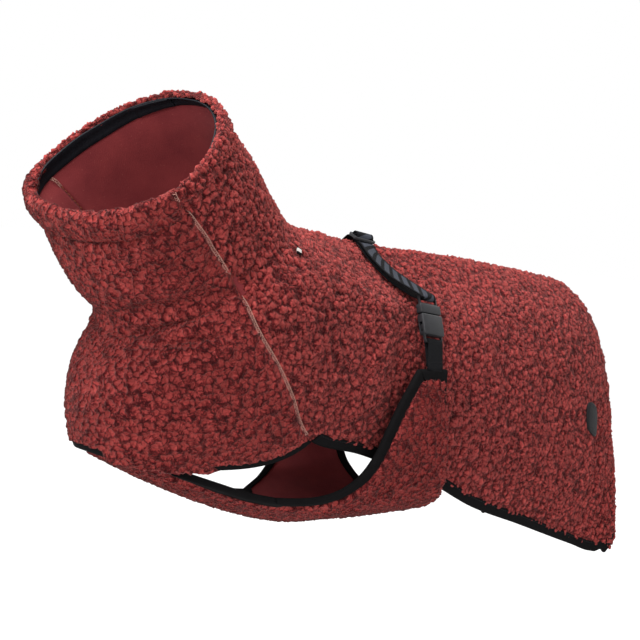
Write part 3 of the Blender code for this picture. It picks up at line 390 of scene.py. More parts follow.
def front_cut(u, v):
    hem = SEAM_FOOT - CHEST_DROP * (1 - smooth(np.abs(2 * u - 1)))
    row = v * hem
    edge = column(SECTIONS, SECTION_COLUMNS, "edge", row)
    return row, edge + (360 - 2 * edge) * u


def belly_cut(line, along):
    line, along = np.broadcast_arrays(np.asarray(line, float), np.asarray(along, float))
    u = np.clip((1 - line) / 2, 0, 1)
    ahead = np.clip(along, -1, 0)
    beside = (len(TONGUE) - 1) * (1 + ahead)
    side = {name: column(TONGUE, TONGUE_COLUMNS, name, beside) for name in TONGUE_COLUMNS}
    at = side["left_at"] * (1 - u) - side["right_at"] * u
    y = side["left_y"] * (1 - u) + side["right_y"] * u
    y = y - TONGUE_BULGE * ahead**2 * (1 - (1 - 2 * u) ** 2)
    row = np.clip(np.abs(line) - 1, 0, None)
    ends = []
    for end in ("front", "rear"):
        (left_at, left_y), (right_at, right_y) = (
            [column(table, WING_COLUMNS, f"{end}_{name}", row) for name in ("at", "y")]
            for table in (LEFT_WING, RIGHT_WING)
        )
        ends.append((left_at * (1 - u) - right_at * u, left_y * (1 - u) + right_y * u))
    back = np.clip(along, 0, 1)
    (front_at, front_y), (rear_at, rear_y) = ends
    wing_at = front_at * (1 - back) + rear_at * back
    wing_y = front_y * (1 - back) + rear_y * back
    tongue = along < 0
    return np.where(tongue, at, wing_at), np.where(tongue, y, wing_y)


def even(skin, cut, first, start, end, step, others, multiple=LINING_EVERY):
    """Numbers across a cut, from start to end, whose points lie about a step apart on the mean."""
    tried = np.linspace(start, end, 300)
    a, b = np.meshgrid(tried, np.asarray(others, float), indexing="ij")
    points = skin(*(cut(a, b) if first else cut(b, a)))
    steps = np.linalg.norm(np.diff(points, axis=0), axis=-1).mean(axis=1)
    way = np.concatenate([[0], np.cumsum(steps)])
    count = multiple * max(1, round(way[-1] / step / multiple))
    return np.interp(np.linspace(0, way[-1], count + 1), way, tried)


def distance_to(points, line):
    """Distance of each point of a grid from the nearest point of a line."""
    return np.array([np.linalg.norm(row[:, None] - line[None], axis=-1).min(axis=1) for row in points])


def lengths(path):
    """How far along a path each of its points is."""
    return np.concatenate([[0], np.cumsum(np.linalg.norm(np.diff(path, axis=0), axis=-1))])


def places(at, way, path):
    """Points of a path at given lengths."""
    return np.stack([np.interp(at, way, path[:, k]) for k in range(3)], axis=-1)


# Meshes

PILE_ATTRIBUTES = (("pile_place", "FLOAT_VECTOR"), ("pile", "FLOAT"))


def new_object(name, mesh, material):
    obj = bpy.data.objects.new(name, mesh)
    bpy.context.scene.collection.objects.link(obj)
    for one in material if isinstance(material, (list, tuple)) else [material]:
        mesh.materials.append(one)
    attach(obj, "root")
    return obj


def mesh_of(name, points, faces):
    mesh = bpy.data.meshes.new(name)
    mesh.from_pydata([tuple(point) for point in points], [], faces)
    mesh.validate()
    mesh.shade_smooth()
    return mesh


def placed(place, *axes):
    """The matrix that takes an object to a place, with its axes along three directions."""
    matrix = Matrix([[*part] for part in np.stack(axes, axis=1)]).to_4x4()
    matrix.translation = Vector(place)
    return matrix


def only(obj):
    """Selects one object alone, in object mode."""
    bpy.ops.object.select_all(action="DESELECT")
    bpy.context.view_layer.objects.active = obj
    obj.select_set(True)


def apply(obj, kind, **settings):
    modifier = obj.modifiers.new(kind.lower(), kind)
    for name, value in settings.items():
        setattr(modifier, name, value)
    only(obj)
    bpy.ops.object.modifier_apply(modifier=modifier.name)
    return obj


def closed_cloth(name, outer, inner, present, weight):
    """A closed cloth: a fine outer grid, a lining on every few of its points, and an edge between them.

    present says which of the lining's cells there are.
    """
    step = LINING_EVERY
    rows, columns = outer.shape[:2]
    index = np.arange(rows * columns).reshape(rows, columns)
    coarse_rows, coarse_columns = (rows - 1) // step + 1, (columns - 1) // step + 1
    lining = rows * columns + np.arange(coarse_rows * coarse_columns)
    lining = lining.reshape(coarse_rows, coarse_columns)
    fine = np.repeat(np.repeat(present, step, axis=0), step, axis=1)
    cells = np.stack([index[:-1, :-1], index[1:, :-1], index[1:, 1:], index[:-1, 1:]], axis=-1)[fine]
    under = [lining[:-1, :-1], lining[:-1, 1:], lining[1:, 1:], lining[1:, :-1]]
    under = np.stack(under, axis=-1)[present]
    faces = [tuple(map(int, cell)) for cell in cells]
    outer_faces = len(faces)
    faces += [tuple(map(int, cell)) for cell in under]
    turns = ((0, 0, 1, 0, 0, -1), (1, 0, 1, 1, 1, 0), (1, 1, 0, 1, 0, 1), (0, 1, 0, 0, -1, 0))
    for i, j in zip(*np.nonzero(present)):
        for from_i, from_j, to_i, to_j, next_i, next_j in turns:
            near_i, near_j = i + next_i, j + next_j
            inside = 0 <= near_i < present.shape[0] and 0 <= near_j < present.shape[1]
            if inside and present[near_i, near_j]:
                continue
            start, stop = (i + from_i, j + from_j), (i + to_i, j + to_j)
            along_i = np.linspace(start[0] * step, stop[0] * step, step + 1).round().astype(int)
            along_j = np.linspace(start[1] * step, stop[1] * step, step + 1).round().astype(int)
            way = index[along_i, along_j].tolist()
            faces.append((int(lining[start]), int(lining[stop]), *reversed(way)))
    points = np.concatenate([outer.reshape(-1, 3), inner[::step, ::step].reshape(-1, 3)])
    mesh = bpy.data.meshes.new(name)
    mesh.from_pydata(points.tolist(), [], faces)
    material = np.ones(len(faces), int)
    material[:outer_faces] = 0
    mesh.polygons.foreach_set("material_index", material)
    for label, kind in PILE_ATTRIBUTES:
        mesh.attributes.new(name=label, type=kind, domain="POINT")
    mesh.attributes["pile_place"].data.foreach_set("vector", points.ravel())
    pile = np.concatenate([weight.ravel(), np.zeros(coarse_rows * coarse_columns)])
    mesh.attributes["pile"].data.foreach_set("value", pile)
    mesh.shade_smooth()
    work = bmesh.new()
    work.from_mesh(mesh)
    bmesh.ops.delete(work, geom=[v for v in work.verts if not v.link_faces], context="VERTS")
    work.to_mesh(mesh)
    work.free()
    return mesh


def swept(name, rings, closed=False):
    """A tube through rings of points that run the same way round."""
    rings = np.asarray(rings)
    count, sides = rings.shape[:2]
    index = np.arange(count * sides).reshape(count, sides)
    faces = []
    for i in range(count if closed else count - 1):
        here, there = index[i], index[(i + 1) % count]
        for j in range(sides):
            k = (j + 1) % sides
            faces.append((int(here[j]), int(here[k]), int(there[k]), int(there[j])))
    if not closed:
        faces += [tuple(map(int, index[0][::-1])), tuple(map(int, index[-1]))]
    mesh = mesh_of(name, rings.reshape(-1, 3), faces)
    work = bmesh.new()
    work.from_mesh(mesh)
    bmesh.ops.recalc_face_normals(work, faces=work.faces)
    work.to_mesh(mesh)
    work.free()
    return mesh


def stitched(name, paths, radius, material):
    """Threads along paths, joined in one piece."""
    sides = 5
    work = bmesh.new()
    for path in paths:
        path = np.asarray(path)
        tangent = unit(np.gradient(path, axis=0))
        help_way = np.where(np.abs(tangent[:, 2:]) > 0.8, [[1.0, 0, 0]], [[0, 0, 1.0]])
        across = unit(np.cross(tangent, help_way))
        up = np.cross(across, tangent)
        turn = np.linspace(0, 2 * np.pi, sides, endpoint=False)
        taper = np.ones(len(path))
        taper[0] = taper[-1] = 0.55
        cosines, sines = np.cos(turn)[None, :, None], np.sin(turn)[None, :, None]
        around = cosines * across[:, None] + sines * up[:, None]
        rings = path[:, None] + radius * taper[:, None, None] * around
        made = [[work.verts.new(point) for point in ring] for ring in rings]
        for here, there in zip(made[:-1], made[1:]):
            for j in range(sides):
                k = (j + 1) % sides
                work.faces.new((here[j], here[k], there[k], there[j]))
        work.faces.new(made[0][::-1])
        work.faces.new(made[-1])
    bmesh.ops.recalc_face_normals(work, faces=work.faces)
    mesh = bpy.data.meshes.new(name)
    work.to_mesh(mesh)
    work.free()
    mesh.shade_smooth()
    new_object(name, mesh, material)


# Materials


class Tree:
    """Short words for adding and joining nodes."""

    def __init__(self, tree):
        self.tree = tree

    def add(self, kind, inputs=None, **settings):
        node = self.tree.nodes.new(kind)
        for name, value in settings.items():
            setattr(node, name, value)
        for name, value in (inputs or {}).items():
            socket = node.inputs[name]
            if isinstance(value, bpy.types.NodeSocket):
                self.join(value, socket)
            else:
                socket.default_value = value
        return node

    def join(self, output, socket):
        self.tree.links.new(output, socket)

    def place(self):
        return self.add("ShaderNodeTexCoord").outputs["Object"]

    def grey(self, level):
        return self.add("ShaderNodeCombineColor", {0: level, 1: level, 2: level}).outputs[0]

    def math(self, operation, a, b=0.0):
        return self.add("ShaderNodeMath", {0: a, 1: b}, operation=operation).outputs[0]

    def vector(self, operation, a, b):
        return self.add("ShaderNodeVectorMath", {0: a, 1: b}, operation=operation).outputs[0]

    def scaled(self, vector, factor):
        inputs = {0: vector, "Scale": factor}
        return self.add("ShaderNodeVectorMath", inputs, operation="SCALE").outputs[0]

    def range(self, value, low, high, to_low=0.0, to_high=1.0, kind="SMOOTHSTEP"):
        inputs = {"Value": value, "From Min": low, "From Max": high}
        inputs |= {"To Min": to_low, "To Max": to_high}
        return self.add("ShaderNodeMapRange", inputs, interpolation_type=kind).outputs[0]

    def noise(self, place, scale, detail=2.0, rough=0.5):
        inputs = {"Vector": place, "Scale": scale, "Detail": detail, "Roughness": rough}
        return self.add("ShaderNodeTexNoise", inputs)

    def cells(self, place, size, **settings):
        inputs = {"Vector": place, "Scale": 1 / size, "Randomness": 1.0}
        return self.add("ShaderNodeTexVoronoi", inputs, **settings)

    def ramp(self, value, stops):
        node = self.add("ShaderNodeValToRGB", {0: value})
        ramp = node.color_ramp
        while len(ramp.elements) < len(stops):
            ramp.elements.new(0.5)
        for element, (place, colour) in zip(ramp.elements, stops):
            element.position = place
            element.color = (*colour, 1)
        return node.outputs[0]

    def blend(self, factor, a, b, kind="MIX"):
        node = self.add("ShaderNodeMix", data_type="RGBA", blend_type=kind)
        for place, value in ((0, factor), (6, a), (7, b)):
            if isinstance(value, bpy.types.NodeSocket):
                self.join(value, node.inputs[place])
            else:
                node.inputs[place].default_value = value if place == 0 else (*value, 1)
        return node.outputs[2]


CURL = 0.0053  # size of the fleece's curls
LOOP = 0.0026  # and of the loops in them


def curls(tree, place):
    """Heights of the fleece's curls from 0 to 1, a number by chance for each, and 0 in their cracks."""
    for scale, reach in ((105.0, 0.0080), (330.0, 0.0054)):  # loosely, then tightly bent
        bend = tree.noise(place, scale, 2.0).outputs["Color"]
        bend = tree.vector("SUBTRACT", bend, (0.5, 0.5, 0.5))
        place = tree.vector("ADD", place, tree.scaled(bend, reach))
    big, small = tree.cells(place, CURL), tree.cells(place, LOOP)
    tall = tree.range(big.outputs["Distance"], 0.78, 0.12)
    low = tree.range(small.outputs["Distance"], 0.80, 0.10)
    height = tree.math("ADD", tree.math("MULTIPLY", tall, 0.66), tree.math("MULTIPLY", low, 0.34))
    chance = tree.add("ShaderNodeSeparateXYZ", {0: big.outputs["Color"]}).outputs[0]
    edges = [
        tree.cells(place, size, feature="DISTANCE_TO_EDGE").outputs["Distance"]
        for size in (CURL, LOOP)
    ]
    cracks = tree.range(edges[0], 0.0, 0.14), tree.range(edges[1], -0.09, 0.12)
    crack = tree.math("MULTIPLY", *cracks)
    return height, chance, crack


def new_shader(name, roughness, **constants):
    material = bpy.data.materials.new(name)
    material.use_nodes = True
    tree = Tree(material.node_tree)
    shader = material.node_tree.nodes["Principled BSDF"]
    shader.inputs["Roughness"].default_value = roughness
    for label, value in constants.items():
        shader.inputs[label.replace("_", " ")].default_value = value
    return material, tree, shader


def bump(tree, shader, height, distance, strength):
    inputs = {"Height": height, "Distance": distance, "Strength": strength}
    tree.join(tree.add("ShaderNodeBump", inputs).outputs[0], shader.inputs["Normal"])


def fleece_material():
    material, tree, shader = new_shader(
        "teddy fleece", 0.95, Specular_IOR_Level=0.03, Sheen_Weight=0.17, Sheen_Roughness=0.4
    )
    shader.inputs["Sheen Tint"].default_value = (1.0, 0.50, 0.46, 1)
    place = tree.add("ShaderNodeAttribute", attribute_name="pile_place").outputs["Vector"]
    height, chance, crack = curls(tree, place)
    fibre = tree.noise(place, 900.0, 3.0, 0.6).outputs[0]
    cloudy = tree.noise(place, 22.0, 2.0).outputs[0]
    # Painted shade and light: the colour darkens into the cracks and low parts of the curls, where
    # shade would fall, and is painted lighter on their tops.
    level = tree.math("MULTIPLY", height, tree.math("ADD", tree.math("MULTIPLY", crack, 0.54), 0.46))
    level = tree.math("ADD", level, tree.math("MULTIPLY", tree.math("SUBTRACT", fibre, 0.5), 0.30))
    colour = tree.ramp(
        level,
        (
            (0.00, (0.026, 0.0034, 0.0042)),
            (0.20, (0.095, 0.0115, 0.0120)),
            (0.40, (0.210, 0.0290, 0.0270)),
            (0.72, (0.265, 0.0400, 0.0365)),
            (1.00, (0.340, 0.0590, 0.0520)),
        ),
    )
    lighter = tree.range(chance, 0.0, 1.0, 0.80, 1.20, "LINEAR")
    lighter = tree.math("MULTIPLY", lighter, tree.range(cloudy, 0.3, 0.7, 0.90, 1.10, "LINEAR"))
    colour = tree.blend(1.0, colour, tree.grey(lighter), "MULTIPLY")
    tree.join(colour, shader.inputs["Base Color"])
    rough = tree.math("ADD", tree.math("MULTIPLY", height, 0.55), tree.math("MULTIPLY", fibre, 0.45))
    rough = tree.math("ADD", rough, tree.math("MULTIPLY", crack, 0.45))
    bump(tree, shader, rough, 0.0015, 0.85)
    return material


def lining_material():
    material, tree, shader = new_shader(
        "brushed lining", 0.9, Specular_IOR_Level=0.03, Sheen_Weight=0.04, Sheen_Roughness=0.5
    )
    place = tree.place()
    knit = tree.add("ShaderNodeTexVoronoi", {"Vector": place, "Scale": 900.0}).outputs["Distance"]
    cloudy = tree.noise(place, 35.0, 3.0).outputs[0]
    specks = tree.range(tree.noise(place, 480.0, 2.0).outputs[0], 0.66, 0.78)
    base = tree.ramp(cloudy, ((0.3, (0.150, 0.0235, 0.0270)), (0.7, (0.200, 0.0320, 0.0340))))
    colour = tree.blend(tree.math("MULTIPLY", specks, 0.35), base, (0.36, 0.105, 0.085))
    tree.join(colour, shader.inputs["Base Color"])
    bump(tree, shader, knit, 0.0004, 0.5)
    return material


def woven_material(name, colour, other, roughness, scale, shine=0.03):
    """A close tape weave, by place."""
    material, tree, shader = new_shader(name, roughness, Specular_IOR_Level=shine)
    place = tree.place()
    cells = tree.add("ShaderNodeTexVoronoi", {"Vector": place, "Scale": scale}).outputs["Distance"]
    uneven = tree.noise(place, 120.0, 3.0).outputs[0]
    tone = tree.math("MULTIPLY", tree.math("ADD", cells, uneven), 0.5)
    tree.join(tree.blend(tone, other, colour), shader.inputs["Base Color"])
    height = tree.math("ADD", tree.math("MULTIPLY", cells, -0.5), tree.math("MULTIPLY", uneven, 1.5))
    bump(tree, shader, height, 0.0005, 0.6)
    return material


def webbing_material():
    """Ribbed webbing by the strap's own UV map: its length along U and its width along V, in metres."""
    material, tree, shader = new_shader("webbing", 0.65, Specular_IOR_Level=0.05)
    place = tree.add("ShaderNodeUVMap", uv_map="along_strap").outputs[0]
    parts = tree.add("ShaderNodeSeparateXYZ", {0: place})
    along, across = parts.outputs[0], parts.outputs[1]
    ribs = tree.math("SINE", tree.math("MULTIPLY", along, 2 * math.pi / 0.0013))
    cords = tree.math("SINE", tree.math("MULTIPLY", across, 2 * math.pi / 0.0011))
    weave = tree.math("MULTIPLY", ribs, cords)
    slanted = tree.math("ADD", along, tree.math("MULTIPLY", across, 0.55))
    bars = tree.math("FRACT", tree.math("DIVIDE", slanted, 0.0112))
    bar = tree.math("MULTIPLY", tree.range(bars, 0.34, 0.40), tree.range(bars, 0.98, 0.92))
    middle = tree.range(tree.math("ABSOLUTE", across), 0.0078, 0.0070)
    upper = tree.add("ShaderNodeAttribute", attribute_name="upper_layer").outputs["Fac"]
    grey = tree.math("MULTIPLY", tree.math("MULTIPLY", bar, middle), upper)
    colour = tree.blend(grey, (0.0050, 0.0050, 0.0060), (0.044, 0.048, 0.060))
    shade = tree.range(weave, -1.0, 1.0, 0.78, 1.12, "LINEAR")
    colour = tree.blend(1.0, colour, tree.grey(shade), "MULTIPLY")
    tree.join(colour, shader.inputs["Base Color"])
    bump(tree, shader, weave, 0.0003, 0.8)
    return material


def plastic_material(name, colour, roughness):
    material, tree, shader = new_shader(name, roughness, Specular_IOR_Level=0.28)
    place = tree.place()
    grain = tree.noise(place, 2600.0, 2.0, 0.7).outputs[0]
    worn = tree.noise(place, 160.0, 3.0).outputs[0]
    lighter = tuple(min(1.0, part * 1.6) for part in colour)
    shaded = tree.blend(tree.range(worn, 0.35, 0.75), colour, lighter)
    tree.join(shaded, shader.inputs["Base Color"])
    rough = tree.range(worn, 0.3, 0.7, roughness - 0.08, roughness + 0.10, "LINEAR")
    tree.join(rough, shader.inputs["Roughness"])
    bump(tree, shader, grain, 0.00012, 0.5)
    return material


def thread_material(name, colour):
    material, tree, shader = new_shader(name, 0.6, Specular_IOR_Level=0.08)
    place = tree.place()
    strands = tree.noise(place, 2200.0, 1.0).outputs[0]
    darker = tuple(part * 0.62 for part in colour)
    tree.join(tree.blend(strands, darker, colour), shader.inputs["Base Color"])
    bump(tree, shader, strands, 0.0002, 0.6)
    return material


FLEECE = fleece_material()
LINING = lining_material()
BLACK_TAPE = woven_material(
    "binding tape", (0.0030, 0.0028, 0.0030), (0.0070, 0.0066, 0.0070), 0.85, 1500.0
)
COLLAR_TAPE = woven_material(
    "collar tape", (0.0040, 0.0045, 0.0065), (0.0110, 0.0120, 0.0160), 0.55, 1100.0, 0.12
)
WEBBING = webbing_material()
BUCKLE_GREY = plastic_material("buckle plastic", (0.0100, 0.0100, 0.0115), 0.45)
SLIDER_GREY = plastic_material("slider plastic", (0.0120, 0.0120, 0.0135), 0.42)
SEAM_THREAD = thread_material("seam thread", (0.52, 0.27, 0.22))
LINING_THREAD = thread_material("lining thread", (0.30, 0.095, 0.040))
DARK_THREAD = thread_material("binding thread", (0.012, 0.012, 0.013))
TAG_CLOTH = woven_material("tag", (0.45, 0.42, 0.39), (0.34, 0.31, 0.29), 0.75, 1800.0)
PATCH_CLOTH = woven_material(
    "patch", (0.0060, 0.0055, 0.0060), (0.0140, 0.0130, 0.0145), 0.50, 1300.0, 0.1
)


# The cloth panels


PILE_HEIGHT = 0.0037
PILE_SINK = 0.0025
CURL_UNEVEN = 0.0008
LUMPS = 0.0022


def curling():
    """Nodes that lift the pile into curls, by the points' own places and their pile's weight."""
    group = bpy.data.node_groups.new("curl up", "GeometryNodeTree")
    group.interface.new_socket(name="Geometry", in_out="INPUT", socket_type="NodeSocketGeometry")
    group.interface.new_socket(name="Geometry", in_out="OUTPUT", socket_type="NodeSocketGeometry")
    tree = Tree(group)
    start, end = group.nodes.new("NodeGroupInput"), group.nodes.new("NodeGroupOutput")
    place, pile = (
        tree.add("GeometryNodeInputNamedAttribute", {"Name": name}, data_type=kind).outputs["Attribute"]
        for name, kind in PILE_ATTRIBUTES
    )
    height, chance, _ = curls(tree, place)
    lump = tree.noise(place, 38.0, 2.0).outputs[0]
    lift = tree.math("SUBTRACT", tree.math("MULTIPLY", height, PILE_HEIGHT), PILE_SINK)
    for value, reach in ((chance, CURL_UNEVEN), (lump, LUMPS)):
        uneven = tree.math("MULTIPLY", tree.math("SUBTRACT", value, 0.5), reach)
        lift = tree.math("ADD", lift, uneven)
    lift = tree.math("MULTIPLY", lift, pile)
    normal = tree.add("GeometryNodeInputNormal").outputs[0]
    offset = tree.scaled(normal, lift)
    moved = tree.add("GeometryNodeSetPosition", {"Geometry": start.outputs[0], "Offset": offset})
    tree.join(moved.outputs[0], end.inputs[0])
    return group


CURLING = curling()


def fleece_piece(mesh, node):
    """An object with its pile lifted, in place of a node."""
    obj = new_object(mesh.name, mesh, [FLEECE, LINING])
    apply(obj, "NODES", node_group=CURLING)
    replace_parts(obj, node)
    return obj


def coat_thickness(row):
    """Between the outside and the lining: thicker where the rim is folded over to the inside."""
    return CLOTH + (2 * RIM_ROLL - CLOTH) * (1 - smooth((row - 0.25) / 0.3))


ROLL_ROWS = (0.66, 0.58, 0.50, 0.42)  # inside the rim, under the tape


def coat_panel(name, cut, rows_share, u, v, seam_sides, hem_line, hem_reach, covered):
    """A panel of the body, from inside its rolled rim to its hem, its grid and its mesh."""
    centre = RIM_ROLL / RIM_STEP
    inside = [(row, float(coat_thickness(row))) for row in ROLL_ROWS]
    arc = [
        (centre * (1 - math.sin(turn)), RIM_ROLL * (1 - math.cos(turn)))
        for turn in np.linspace(math.pi, 0, 9)
    ]
    down = [(row / rows_share, depth) for row, depth in inside + arc]
    down += [(share, 0.0) for share in v[1:]]
    spare = (len(down) - 1) % LINING_EVERY
    share, depth = np.array(down[spare:]).T
    u_grid, v_grid = np.meshgrid(u, share, indexing="xy")
    row, angle = cut(u_grid, v_grid)
    skin, out = body(row, angle), body_normals(row, angle)
    crease = body_creases(row, angle)
    outside = np.repeat((depth <= 1e-9)[:, None], len(u), axis=1)
    hem_apart = distance_to(skin, hem_line)
    on_patch = np.maximum(
        np.abs(row - np.mean(PATCH_ROWS)) * 2 / np.ptp(PATCH_ROWS),
        np.abs(angle - np.mean(PATCH_ANGLES)) * 2 / np.ptp(PATCH_ANGLES),
    )
    seam_apart = np.minimum(*(distance_to(skin, side) for side in seam_sides))
    cover = covered(u_grid)
    dip = BOUND_DIP * (1 - smooth((hem_apart - hem_reach) / 0.003)) * (1 - cover)
    dip = np.maximum(dip, SEAM_DIP * (1 - smooth(seam_apart / SEAM_REACH)) * (row > 0.4))
    dip = np.where(outside, dip, 0.0)
    crease = crease * smooth((hem_apart - 0.006) / 0.012) * smooth((row - 0.6) / 0.6)
    outer = skin - out * (depth[:, None] + dip - crease)[..., None]
    past = unit(skin[-1] - skin[-3])  # covered, the hem's binding lies under the pile
    hang = cover * (1 - smooth(distance_to(skin, skin[-1]) / 0.009))
    outer = outer + past[None] * (hang * 0.0028)[..., None] + out * (hang * 0.0008)[..., None]
    weight = np.maximum(smooth((hem_apart - hem_reach - 0.0004) / 0.0025), cover)
    weight = weight * (0.22 + 0.78 * smooth((seam_apart - 0.0016) / 0.0030))
    weight = weight * (0.12 + 0.88 * smooth((on_patch - 0.92) / 0.25))
    fading = np.ones(len(depth))
    fading[:4] = (0.0, 0.0, 0.25, 0.7)  # bare where the tape covers the rolled rim
    weight = weight * fading[:, None]
    first_row = ROLL_ROWS[spare] + 0.04
    lining_row = np.where(outside, np.maximum(row, first_row), first_row)
    lining_row = lining_row + np.linspace(0.0, 0.3, len(depth))[:, None] * (~outside)
    lining_row = np.maximum.accumulate(lining_row, axis=0)
    inner = body(lining_row, angle)
    inner = inner - body_normals(lining_row, angle) * coat_thickness(lining_row)[..., None]
    present = np.ones(((len(depth) - 1) // LINING_EVERY, (len(u) - 1) // LINING_EVERY), bool)
    return closed_cloth(name, outer, inner, present, weight)


def seam_line(side, count=500):
    return body(*back_cut(np.full(count, float(side)), np.linspace(0, SEAM_FOOT / REAR, count)))


def make_panels():
    seams = [seam_line(0), seam_line(1)]
    rim, down = RIM_ROLL / RIM_STEP, np.linspace(0.02, 0.98, 15)
    v_back = even(body, back_cut, False, rim / REAR, 1, FINE["back"], down)
    u_back = even(body, back_cut, True, 0, 1, FINE["back"], np.linspace(0.05, 0.98, 15))
    hem = np.linspace(SEAM_FOOT / REAR, 1, 500)
    back_hem = np.concatenate(
        [body(*back_cut(np.full(500, side), hem)) for side in (0.0, 1.0)]
        + [body(*back_cut(np.linspace(0, 1, 300), np.ones(300)))]
    )
    hold = 0.0004  # half a seam's gap, as a share of a panel's width

    def rear_covered(u):
        inwards = np.minimum(u, 1 - u) * 0.5
        return smooth((inwards - 0.004) / 0.012)

    u_back = u_back * (1 - 2 * hold) + hold
    back = coat_panel(
        "back_panel_fleece", back_cut, REAR, u_back, v_back, seams, back_hem, 0.0036, rear_covered
    )
    v_front = even(body, front_cut, False, rim / SEAM_FOOT, 1, FINE["front"], down)
    u_front = even(body, front_cut, True, 0, 1, FINE["front"], np.linspace(0.1, 0.98, 15))
    chest_hem = body(*front_cut(np.linspace(0, 1, 500), np.ones(500)))

    def chest_covered(u):
        side = np.minimum(u, 1 - u)
        far = np.where(u > 0.5, 0.28, 0.40)
        return smooth((side - 0.185) / 0.05) * (1 - smooth((side - far) / 0.04))

    u_front = u_front * (1 - 2 * hold) + hold
    front = coat_panel(
        "front_panel_fleece", front_cut, SEAM_FOOT, u_front, v_front, seams, chest_hem, 0.0040,
        chest_covered,
    )
    return fleece_piece(back, "back_panel"), fleece_piece(front, "front_panel")


def make_belly_panel():
    step = FINE["belly"]
    wing = even(belly, belly_cut, True, 1, TIP, step, np.linspace(0.1, 0.9, 5))
    middle = even(belly, belly_cut, True, -1, 1, step, [-0.6, -0.2, 0.0, 0.5])
    right = even(belly, belly_cut, True, -TIP, -1, step, np.linspace(0.1, 0.9, 5))
    line = np.concatenate([right[:-1], middle, wing[1:]])[::-1]
    ahead = even(belly, belly_cut, False, -1, 0, step, [-0.6, 0, 0.6])
    back = even(belly, belly_cut, False, 0, 1, step, [-2.0, -1, 0, 1, 2.0])
    along = np.concatenate([ahead[:-1], back])
    line_grid, along_grid = np.meshgrid(line, along, indexing="xy")
    held = np.where(along_grid < 0, np.clip(line_grid, -1, 1), line_grid)
    place = belly_cut(held, along_grid)
    skin, out = belly(*place), belly_normals(*place)
    tongue_rows = (len(ahead) - 1) // LINING_EVERY
    present = np.ones(((len(along) - 1) // LINING_EVERY, (len(line) - 1) // LINING_EVERY), bool)
    present[:tongue_rows, : (len(wing) - 1) // LINING_EVERY] = False
    present[:tongue_rows, present.shape[1] - (len(right) - 1) // LINING_EVERY :] = False

    def edge(lines, alongs):
        return belly(*belly_cut(*np.broadcast_arrays(lines, alongs)))

    sides = [edge(turn, np.linspace(-1, 0, 200)) for turn in (1.0, -1.0)]
    sides += [edge(turn * np.linspace(1, TIP, 300), 0.0) for turn in (1, -1)]
    sides += [edge(turn * TIP, np.linspace(0, 1, 60)) for turn in (1, -1)]
    rear = edge(np.linspace(-TIP, TIP, 600), 1.0)
    front_apart, rear_apart = distance_to(skin, np.concatenate(sides)), distance_to(skin, rear)
    at_tip = 1 - smooth((TIP - np.abs(line) - 0.9) / 0.7)[None, :]
    dip = BOUND_DIP * (1 - smooth((front_apart - 0.0072) / 0.003))
    dip = np.maximum(dip, BOUND_DIP * (1 - smooth((rear_apart - 0.0010) / 0.003)) * at_tip)
    bare_rear = at_tip * (1 - smooth((rear_apart - 0.001) / 0.002))
    weight = smooth((front_apart - 0.0062) / 0.0025) * (1 - bare_rear)
    crease = belly_creases(*place) * smooth((np.minimum(front_apart, rear_apart) - 0.006) / 0.012)
    outer = skin - out * (dip - crease)[..., None]
    # at the rear edge the pile hangs over the binding
    past = unit(skin[-1] - skin[-3])
    hang = smooth((TIP - np.abs(line) - 0.9) / 0.7)[None, :] * (1 - smooth(rear_apart / 0.008))
    outer = outer + past[None] * (hang * 0.0026)[..., None] + out * (hang * 0.0006)[..., None]
    inner = skin - out * CLOTH
    mesh = closed_cloth("belly_panel_fleece", outer, inner, present, weight)
    return fleece_piece(mesh, "belly_panel")


# Bindings: stations in the cut, each at the edge and at the tape's whole width


def binding(node, skin, skin_normals, cut, edge, full, stitches):
    """A tape folded over an edge, from its stations at the edge and at its whole width, in the cut."""
    edge, full = np.asarray(edge, float), np.asarray(full, float)
    gap, cloth = BIND_GAP, BINDING_CLOTH
    over, under = -BOUND_DIP, -CLOTH
    middle, half = (over + under) / 2, (over - under) / 2
    depths = np.array([0.0100, 0.0097, 0.0085, 0.0065, 0.0045, 0.0025, 0.0010])
    arc = np.linspace(75, -75, 7)

    def ring(away, puff):
        puffs = [puff if d < TAPE_EDGE else -puff for d in depths]
        top = [(d, over + away + p) for d, p in zip(depths, puffs)]
        foot = [(d, under - away - p) for d, p in zip(depths, puffs)]
        round_edge = [
            (0.0004 - (0.0009 + away) * math.cos(turn), middle + (half + away) * math.sin(turn))
            for turn in np.radians(arc)
        ]
        return top + round_edge + foot[::-1]

    shape = ring(gap + cloth, 0.0002) + ring(gap, 0.0)[::-1]
    shape = np.array(shape)
    share = np.clip(shape[:, 0], 0, None) / BINDING_WIDTH
    stations = edge[:, None] * (1 - share[None, :, None]) + full[:, None] * share[None, :, None]
    place = cut(stations[..., 0], stations[..., 1])
    points, out = skin(*place), skin_normals(*place)
    rim = skin(*cut(edge[:, 0], edge[:, 1]))
    near = edge + (full - edge) * 0.1
    inwards = unit(skin(*cut(near[:, 0], near[:, 1])) - rim)
    outside = np.clip(-shape[:, 0], 0, None)
    points = points + out * shape[None, :, 1:] - inwards[:, None] * outside[None, :, None]
    name = f"{node}_tape"
    obj = new_object(name, swept(name, points), BLACK_TAPE)
    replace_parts(obj, node)
    # a running stitch near the tape's inner edge, on its outer face
    line = edge * 0.2 + full * 0.8
    place = cut(line[:, 0], line[:, 1])
    top = skin(*place) + skin_normals(*place) * (over + gap + cloth + 0.0001)
    way = lengths(top)
    for start in np.arange(0.001, way[-1] - 0.003, 0.0032):
        at = start + np.array([0.0, 0.0006, 0.0012, 0.0018, 0.0023])
        stitches.append(places(at, way, top))
    return obj


def depth_step(skin, cut, points, ways):
    """How far 10 mm is in the cut, from places along given directions."""
    points, ways = np.asarray(points, float), np.asarray(ways, float)
    near = points + ways * 0.002
    speed = np.linalg.norm(skin(*cut(*near.T)) - skin(*cut(*points.T)), axis=-1) / 0.002
    return ways * (BINDING_WIDTH / speed)[:, None]


